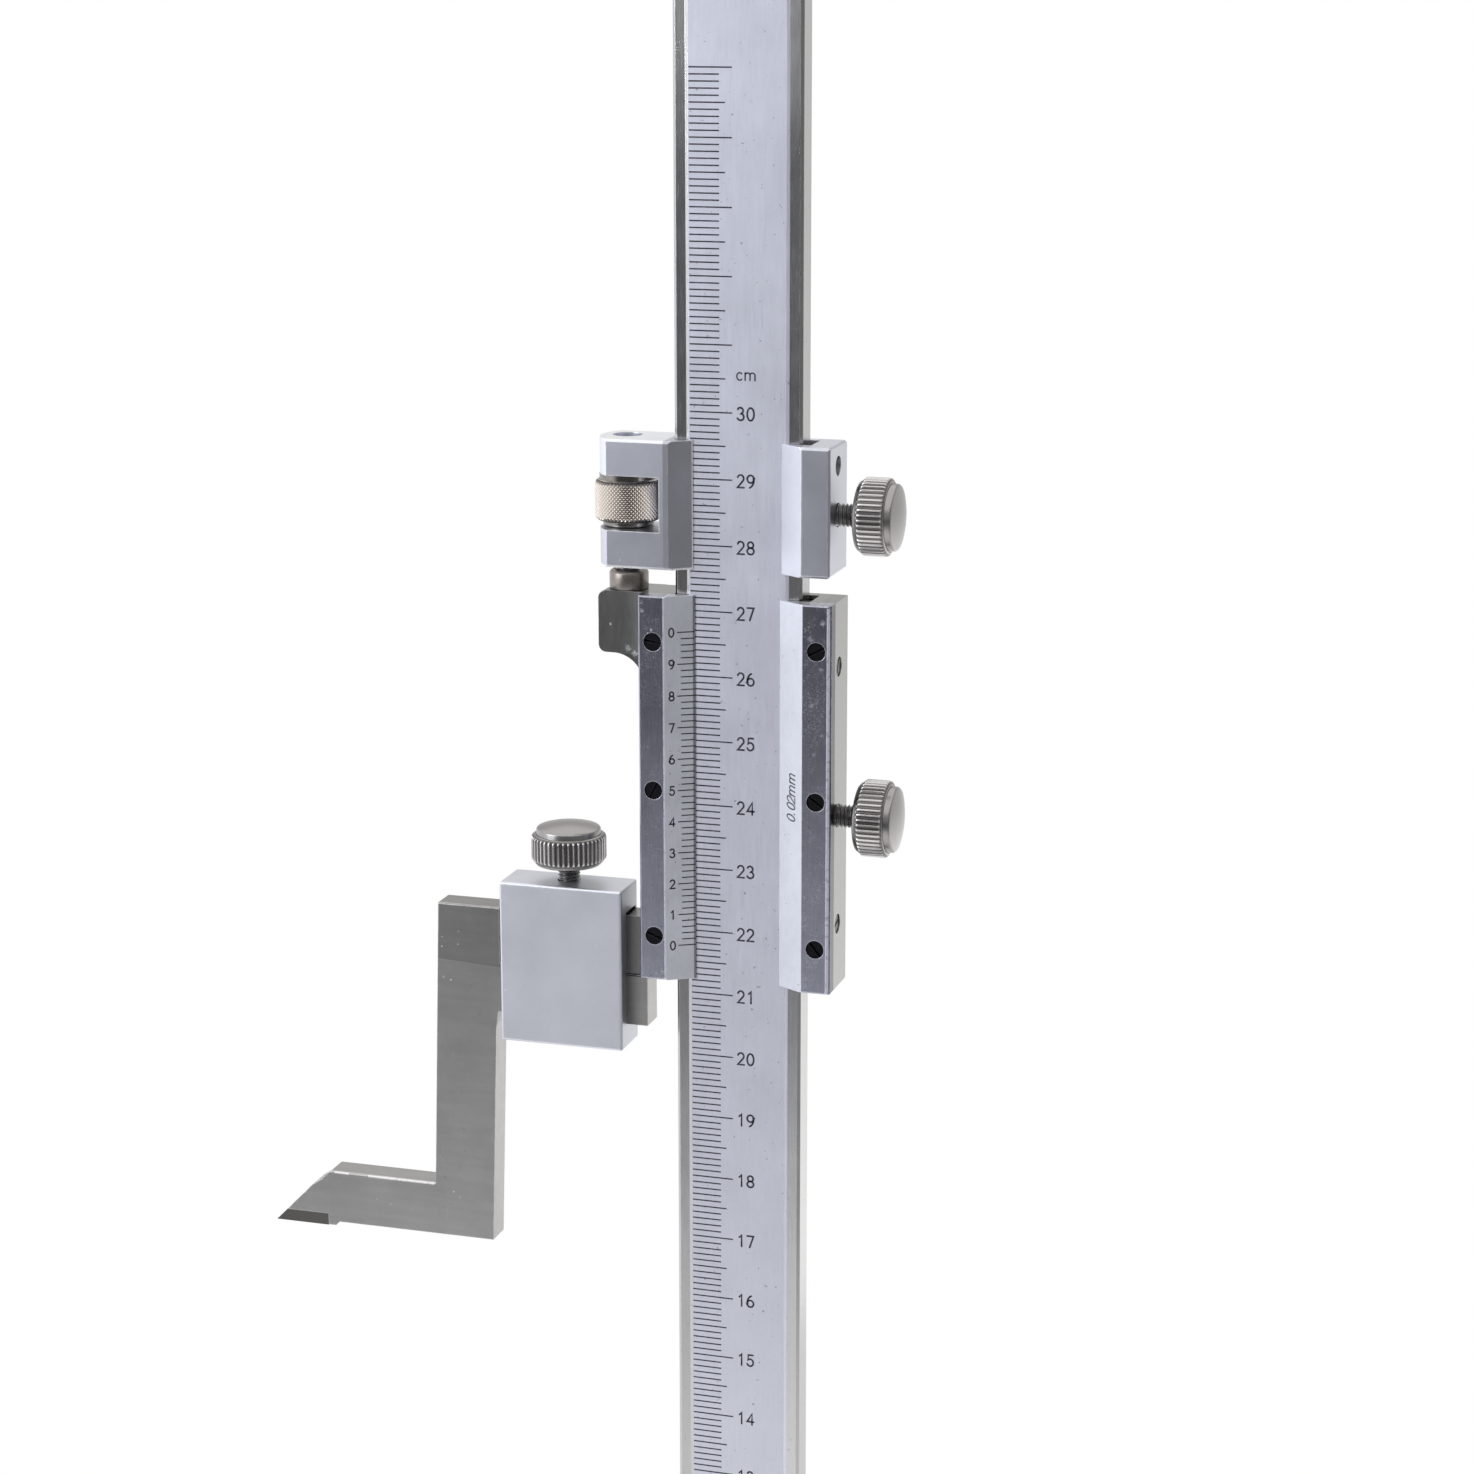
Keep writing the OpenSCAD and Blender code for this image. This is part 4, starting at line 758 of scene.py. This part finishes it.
SIDEWAYS = ((1, 0, 0), (0, 1, 0))
UPWARD = ((0, 0, 1), (1, 0, 0))
knob("slider_knob_piece", (SLIDER_KNOB_X, CLAMP_Y, SLIDER_CLAMP_Z), *SIDEWAYS, "slider_knob",
     "slider_clamp_knob")
knob("carriage_knob_piece", (CARRIAGE_KNOB_X, CLAMP_Y, CARRIAGE_CLAMP_Z), *SIDEWAYS, "carriage_knob",
     "carriage_clamp_knob")
knob("box_knob_piece", (BOX_CLAMP_X, CLAMP_Y, BOX_KNOB_Z), *UPWARD, "box_knob", "box_clamp_knob")
clamp_screw("slider_thread_piece", (SCREW_X, CLAMP_Y, SLIDER_CLAMP_Z), *SIDEWAYS, SLIDER_KNOB_X - SCREW_X,
            "slider_knob", "slider_clamp_screw")
clamp_screw("carriage_thread_piece", (SCREW_X, CLAMP_Y, CARRIAGE_CLAMP_Z), *SIDEWAYS,
            CARRIAGE_KNOB_X - SCREW_X, "carriage_knob", "carriage_clamp_screw")
clamp_screw("box_thread_piece", (BOX_CLAMP_X, CLAMP_Y, BOX_SCREW_Z), *UPWARD, BOX_KNOB_Z - BOX_SCREW_Z,
            "box_knob", "box_clamp_screw")

rod_turns = even(36)
rod_rows = [(ROD_FOOT, 0), (ROD_FOOT, 1.5)]
rod_rows += thread_rows(ROD_FOOT + 0.1, ROD_TOP - 0.25, 0.7, 2.0, 1.62, rod_turns)
rod_rows += [(ROD_TOP, 1.35), (ROD_TOP, 0)]
rod = piece("fine_thread_piece", *revolve(Axis((*ROD, 0), *UPWARD), rod_rows, rod_turns),
            M["screw"], "slider", "screw_steel", 40)
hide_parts("fine_rod")


def knurled_nut():
    """Nut with a diamond knurl between two turned collars. Each diamond is a small pyramid."""
    around = 52
    high = NUT_H
    outer, top_r, low_r, top_h, low_h, bore = 5.1, 4.35, 3.85, 1.05, 0.8, 2.05
    depth, chamfer, brk = 0.2, 0.6, 0.2
    columns = around * 2
    turns = even(columns)
    band_0, band_1 = low_h + 0.1, high - top_h - 0.1
    steps = 2 * round((band_1 - band_0) / 0.62)
    axis = Axis((*ROD, NUT_Z), *UPWARD)
    verts, rings = [], []

    def ring(t, radii):
        radii = radii if isinstance(radii, list) else [radii] * columns
        rings.append(range(len(verts), len(verts) + columns))
        verts.extend(axis.at(t, radii[i], turns[i]) for i in range(columns))

    ring(0.0, bore + 0.08)
    ring(0.0, low_r - brk)
    ring(brk, low_r)
    ring(low_h - 0.06, low_r)
    ring(low_h, low_r + 0.06)
    ring(low_h, outer - chamfer - 0.1)
    first = len(rings)
    for k in range(steps + 1):
        t = band_0 + (band_1 - band_0) * k / steps
        ends = min(t - low_h, high - top_h - t)
        env = outer - chamfer * max(0.0, 1 - ends / 0.7) ** 1.5
        cut = depth * min(1.0, ends / 0.6)
        ring(t, [env - (cut if (i + k) % 2 == 0 else 0.0) for i in range(columns)])
    end = len(rings) - 1
    ring(high - top_h, outer - chamfer - 0.05)
    ring(high - top_h, top_r + 0.06)
    ring(high - top_h + 0.06, top_r)
    ring(high - brk, top_r)
    ring(high - 0.04, top_r - brk + 0.03)
    ring(high, top_r - brk - 0.06)
    ring(high, bore + 0.08)
    ring(high - 0.08, bore)
    ring(0.08, bore)
    faces = []
    for k in range(len(rings)):
        low, up = rings[k], rings[(k + 1) % len(rings)]
        for i in range(columns):
            j = (i + 1) % columns
            a, b, c, d = low[i], low[j], up[j], up[i]
            if first <= k < end:
                faces += [(a, b, c), (a, c, d)] if (i + k - first) % 2 == 0 else [(a, b, d), (b, c, d)]
            else:
                faces.append((a, b, c, d))
    obj = piece("knurled_nut_piece", verts, faces, M["nut"], "fine_nut", "bright_steel", 28)
    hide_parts("fine_nut")


knurled_nut()


def collar():
    """Turned collar on the lug, with broken edges and a shallow recess round the rod."""
    r, high, bore = 2.975, 2.86, 2.03
    rows = [(0.0, bore), (0.0, r - 0.14), (0.05, r - 0.04), (0.16, r), (high - 0.48, r),
            (high - 0.3, r - 0.05), (high - 0.1, r - 0.22), (high, r - 0.4), (high, bore + 0.4),
            (high - 0.22, bore + 0.3), (high - 0.22, bore)]
    obj = piece("collar_piece", *revolve(Axis((*ROD, COLLAR_Z), *UPWARD), rows, even(72)),
                M["collar"], "slider", "nickel", 35)
    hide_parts("rod_collar")


collar()


# Slotted screws.
def slotted(verts, faces, axis, r, low, high, slot_w, slot_d, turn):
    """One cheese head or grub screw with a slot across its end, added to verts and faces."""
    rim = 0.1
    side = math.asin(slot_w / 2 / r)
    per = 14
    inner = r - rim
    side_in = math.asin(slot_w / 2 / inner)
    halves = []
    for flip in (0, math.pi):
        arcs = []
        for radius, s in ((inner, side_in), (r, side)):
            arcs.append([(radius, turn + flip + s + (math.pi - 2 * s) * i / per) for i in range(per + 1)])
        halves.append(arcs)
    ids = {}

    def add(key, t, radius, a):
        ids[key] = len(verts)
        verts.append(axis.at(t, radius, a))

    for h, (ins, outs) in enumerate(halves):
        for i in range(per + 1):
            add(("top", h, i), high, *ins[i])
            add(("rim", h, i), high - rim * 0.8, *outs[i])
            add(("low", h, i), low, *outs[i])
        for i in (0, per):
            add(("floor", h, i), high - slot_d, *ins[i])
            add(("wall", h, i), high - slot_d, *outs[i])
    for h in (0, 1):
        faces.append([ids["top", h, i] for i in range(per + 1)])
        for i in range(per):
            faces.append((ids["top", h, i], ids["rim", h, i], ids["rim", h, i + 1], ids["top", h, i + 1]))
            faces.append((ids["rim", h, i], ids["low", h, i], ids["low", h, i + 1], ids["rim", h, i + 1]))
        faces.append((ids["top", h, per], ids["floor", h, per], ids["floor", h, 0], ids["top", h, 0]))
        for i, order in ((0, 1), (per, -1)):
            faces.append([ids[k, h, i] for k in ("top", "floor", "wall", "rim")][::order])
    for h in (0, 1):
        o = 1 - h
        faces.append((ids["wall", h, per], ids["low", h, per], ids["low", o, 0], ids["wall", o, 0]))
        faces.append((ids["floor", h, per], ids["wall", h, per], ids["wall", o, 0], ids["floor", o, 0]))
    faces.append((ids["floor", 0, 0], ids["floor", 0, per], ids["floor", 1, 0], ids["floor", 1, per]))
    faces.append([ids["low", h, i] for h in (1, 0) for i in range(per, -1, -1)])


def screws(name, axes, r, low, high, slot_w, slot_d, angles, body, node, look="black"):
    """One piece of equal screws, each with its slot at an angle in degrees."""
    verts, faces = [], []
    for axis, angle in zip(axes, angles):
        slotted(verts, faces, axis, r, low, high, slot_w, slot_d, math.radians(angle))
    obj = piece(name, verts, faces, M[look], body, "black_screw", 30)
    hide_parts(node)


FORWARD = ((0, -1, 0), (1, 0, 0))
HEAD = dict(r=1.38, low=0.0, high=1.3, slot_w=0.42, slot_d=0.5)
GRUB = dict(r=1.48, low=0.0, slot_w=0.45, slot_d=0.6)
screws("vernier_screw_heads", [Axis((PLATE_SCREW_XS[0], PLATE_SCREW_Y, z), *FORWARD) for z in PLATE_ZS],
       **HEAD, angles=(-8, 62, -20), body="slider", node="vernier_screws")
screws("retaining_screw_heads", [Axis((PLATE_SCREW_XS[1], PLATE_SCREW_Y, z), *FORWARD) for z in PLATE_ZS],
       **HEAD, angles=(28, -35, -50), body="slider", node="retaining_screws")
screws("slider_grub_screws", [Axis((GRUB_X, CLAMP_Y, z), *SIDEWAYS) for z in SLIDER_GRUB_ZS],
       **GRUB, high=3.7, angles=(65, 20), body="slider", node="slider_gib_screws", look="grub")
screws("carriage_grub_screw", [Axis((GRUB_X, CLAMP_Y, CARRIAGE_GRUB_Z), *SIDEWAYS)],
       **GRUB, high=3.0, angles=(65,), body="carriage", node="carriage_gib_screw", look="grub")

# Graduations.
land = Plane((0, 0, ZERO_Z), (1, 0, 0), (0, 0, 1))
lines = Marks()
for mark in range(351):
    end = MARK_ENDS[0] if mark % 10 == 0 else MARK_ENDS[1] if mark % 5 == 0 else MARK_ENDS[2]
    lines.bar(land, MARK_LEFT, end, mark, MARK_W)
lines.done("main_scale_lines", M["fill"], "base", "black_screw")
numbers = Marks()
for cm in range(1, 31):
    numbers.text(land, str(cm), 0.0, cm * 10 - 1.02, height=1.88, width=1.04, stroke=0.29, pitch=1.52)
numbers.text(land, "c", -0.08, 304.9, height=1.12, width=0.86, stroke=0.22)
numbers.text(land, "m", 1.2, 304.9, height=1.12, width=1.5, stroke=0.22)
numbers.done("main_scale_numbers", M["fill"], "base", "black_screw")

left_bevel = Plane((*LEFT_RIDGE, VERNIER_Z), (LEFT_EDGE[0] - LEFT_RIDGE[0], LEFT_EDGE[1] - LEFT_RIDGE[1], 0),
                   (0, 0, 1))
bevel_l = math.dist(LEFT_RIDGE, LEFT_EDGE)
vernier = Marks()
digits = Marks()
for i in range(51):
    up = i * VERNIER_STEP
    vernier.bar(left_bevel, 2.08 if i % 5 == 0 else 2.64, bevel_l - 0.02, up, VERNIER_MARK_W)
    if i % 5 == 0:
        digits.text(left_bevel, str(i // 5 % 10), 0.82, up - 0.67, height=1.34, width=0.74, stroke=0.23)
vernier.done("vernier_lines", M["fill_vernier"], "slider", "black_screw")
digits.done("vernier_numbers", M["fill_vernier"], "slider", "black_screw")

right_bevel = Plane((*RIGHT_RIDGE, VALUE_Z), (0, 0, 1),
                    (RIGHT_EDGE[0] - RIGHT_RIDGE[0], RIGHT_EDGE[1] - RIGHT_RIDGE[1], 0))
value = Marks()
for letter, along, tall, wide, stroke in (("0", 0.04, 1.66, 0.84, 0.23), (".", 1.26, 1.66, 0.3, 0.22),
                                          ("0", 1.84, 1.66, 0.84, 0.23), ("2", 2.86, 1.66, 0.88, 0.23),
                                          ("m", 4.04, 1.14, 1.36, 0.23), ("m", 5.88, 1.14, 1.36, 0.23)):
    value.text(right_bevel, letter, along, 1.46, tall, wide, stroke, slant=0.22)
value.done("vernier_value", M["fill_grey"], "slider", "black_screw")

# Materials of the CAD nodes.
LOOKS = {
    "base": "base", "beam": "beam", "foot_screws": "screw", "beam_set_screws": "black",
    "carriage_body": "satin", "carriage_gib": "gib", "carriage_gib_screw": "grub",
    "carriage_clamp_pad": "gib", "carriage_clamp_screw": "screw", "carriage_clamp_knob": "knob",
    "fine_nut": "nut", "slider_body": "slider", "vernier_plate": "plate", "vernier_screws": "black",
    "retaining_plate": "plate", "retaining_screws": "black", "slider_gib": "gib",
    "slider_gib_screws": "grub", "fine_rod": "screw", "rod_collar": "collar", "rod_pin": "screw",
    "slider_clamp_pad": "gib", "slider_clamp_screw": "screw", "slider_clamp_knob": "knob",
    "scriber_box": "box", "box_clamp_pad": "gib", "box_clamp_screw": "screw", "box_clamp_knob": "knob",
    "scriber": "scriber", "carbide_tip": "carbide",
}
for node_name, look in LOOKS.items():
    node_mesh = nodes[node_name].data
    node_mesh.materials.clear()
    node_mesh.materials.append(M[look])

# Camera, fitted to the lines of the scale and the edges in the photograph.
CAMERA_AT = (0.141129, -0.465676, 0.42155)
azimuth, elevation, roll = math.radians(16.87), math.radians(13.55), math.radians(-0.04)
back = Vector((math.sin(azimuth) * math.cos(elevation), -math.cos(azimuth) * math.cos(elevation),
               math.sin(elevation)))
right = Vector((math.cos(azimuth), math.sin(azimuth), 0))
turned = Matrix((right, back.cross(right), back)).transposed().to_4x4()
camera = bpy.data.cameras.new("camera")
camera.sensor_width = 36
camera.lens = 81.09
camera.clip_start = 0.01
camera.clip_end = 20
camera_obj = bpy.data.objects.new("camera", camera)
camera_obj.matrix_world = Matrix.Translation(CAMERA_AT) @ turned @ Matrix.Rotation(roll, 4, "Z")
scene.collection.objects.link(camera_obj)
bpy.context.scene.camera = camera_obj

# Floor. The camera sees it white further out, and its shadows stay near the base.
FLOOR_R = 0.5
ring_n = 96     # points of each of the floor's rings
floor_verts = [(0, 0, 0)]
floor_faces = []
for ring, r in enumerate((0.12, 0.25, 0.38, FLOOR_R)):
    for i in range(ring_n):
        a = 2 * math.pi * i / ring_n
        floor_verts.append((r * math.cos(a), r * math.sin(a), 0))
for i in range(ring_n):
    j = (i + 1) % ring_n
    floor_faces.append((0, 1 + i, 1 + j))
    for ring in range(3):
        s = 1 + ring * ring_n
        floor_faces.append((s + i, s + ring_n + i, s + ring_n + j, s + j))
floor_mesh = bpy.data.meshes.new("floor")
floor_mesh.from_pydata(floor_verts, [], floor_faces)
floor = bpy.data.objects.new("floor", floor_mesh)
scene.collection.objects.link(floor)
floor.location = (0, 0, -0.0002)
floor_mat = bpy.data.materials.new("floor_paper")
g = Graph(floor_mat)
floor_out = g.add("ShaderNodeOutputMaterial")
paper = g.add("ShaderNodeBsdfPrincipled")
paper.inputs["Base Color"].default_value = (0.86, 0.86, 0.86, 1)
paper.inputs["Roughness"].default_value = 0.9
paper.inputs["Specular IOR Level"].default_value = 0.1
white = g.add("ShaderNodeEmission")
white.inputs["Strength"].default_value = 1.0
floor_place = g.add("ShaderNodeTexCoord").outputs["Object"]
away = g.vec("LENGTH", floor_place)
rays = g.add("ShaderNodeLightPath")
far = g.fade(away, 0.16, 0.42)
seen = g.times(far, rays.outputs["Is Camera Ray"])
g.put(floor_out.inputs[0], g.either(seen, paper.outputs[0], white.outputs[0]))
floor_mesh.materials.append(floor_mat)

# World. The camera sees plain white. Cool light comes from the left, from below and a little from above,
# and plain light from behind, from overhead and a little from the right.
world = bpy.data.worlds.new("studio")
scene.world = world
g = Graph(world)
world_out = g.add("ShaderNodeOutputWorld")


def background(colour, strength):
    node = g.add("ShaderNodeBackground")
    node.inputs["Color"].default_value = (*colour, 1)
    g.put(node.inputs["Strength"], strength)
    return node.outputs[0]


way = g.add("ShaderNodeTexCoord").outputs["Generated"]
wx, wy, wz = g.axes(way)
down = g.times(wz, -1.0)
cool = g.fade(g.times(wx, -1.0), 0.38, 0.85, 0.0, 1.15)
ramp = g.add("ShaderNodeMapRange")
for socket, number in zip(ramp.inputs, (0.0, 0.18, 0.6, 0.08, 0.8)):
    socket.default_value = number
g.put(ramp.inputs[0], down)
cool = g.math("MAXIMUM", cool, g.math("ADD", ramp.outputs[0], g.fade(wz, -0.02, 0.05, 0.0, 0.3)))
wall = g.math("ADD", g.fade(down, -0.28, -0.02, 0.62, 0.8), g.fade(down, 0.05, 0.6, 0.0, 0.85))
neutral = g.math("MAXIMUM", g.times(g.fade(wy, -0.1, 0.5), wall), g.fade(wz, 0.4, 0.56, 0.0, 1.22))
neutral = g.math("MAXIMUM", neutral, g.fade(wx, 0.3, 0.9, 0.0, 0.2))
room = g.either(g.math("GREATER_THAN", neutral, cool), background((0.96, 0.975, 1.03), cool),
                background((1, 1, 1), neutral))
seen = g.add("ShaderNodeLightPath").outputs["Is Camera Ray"]
g.put(world_out.inputs[0], g.either(seen, room, background((1, 1, 1), 1.0)))


# Lamps.
def lamp(name, place, aim, size, watts, colour):
    """A soft rectangle of light. place, aim and size are in metres."""
    data = bpy.data.lights.new(name, "AREA")
    data.shape = "RECTANGLE"
    data.size, data.size_y = size
    data.energy = watts
    data.color = colour
    obj = bpy.data.objects.new(name, data)
    obj.location = place
    obj.rotation_euler = (Vector(aim) - Vector(place)).to_track_quat("-Z", "Y").to_euler()
    obj.visible_camera = False
    scene.collection.objects.link(obj)


lamp("key_softbox", (-0.9, -0.85, 0.65), (0, 0, 0.27), (0.75, 0.75), 7.5, (0.94, 0.97, 1.03))

scene.view_settings.view_transform = "Standard"
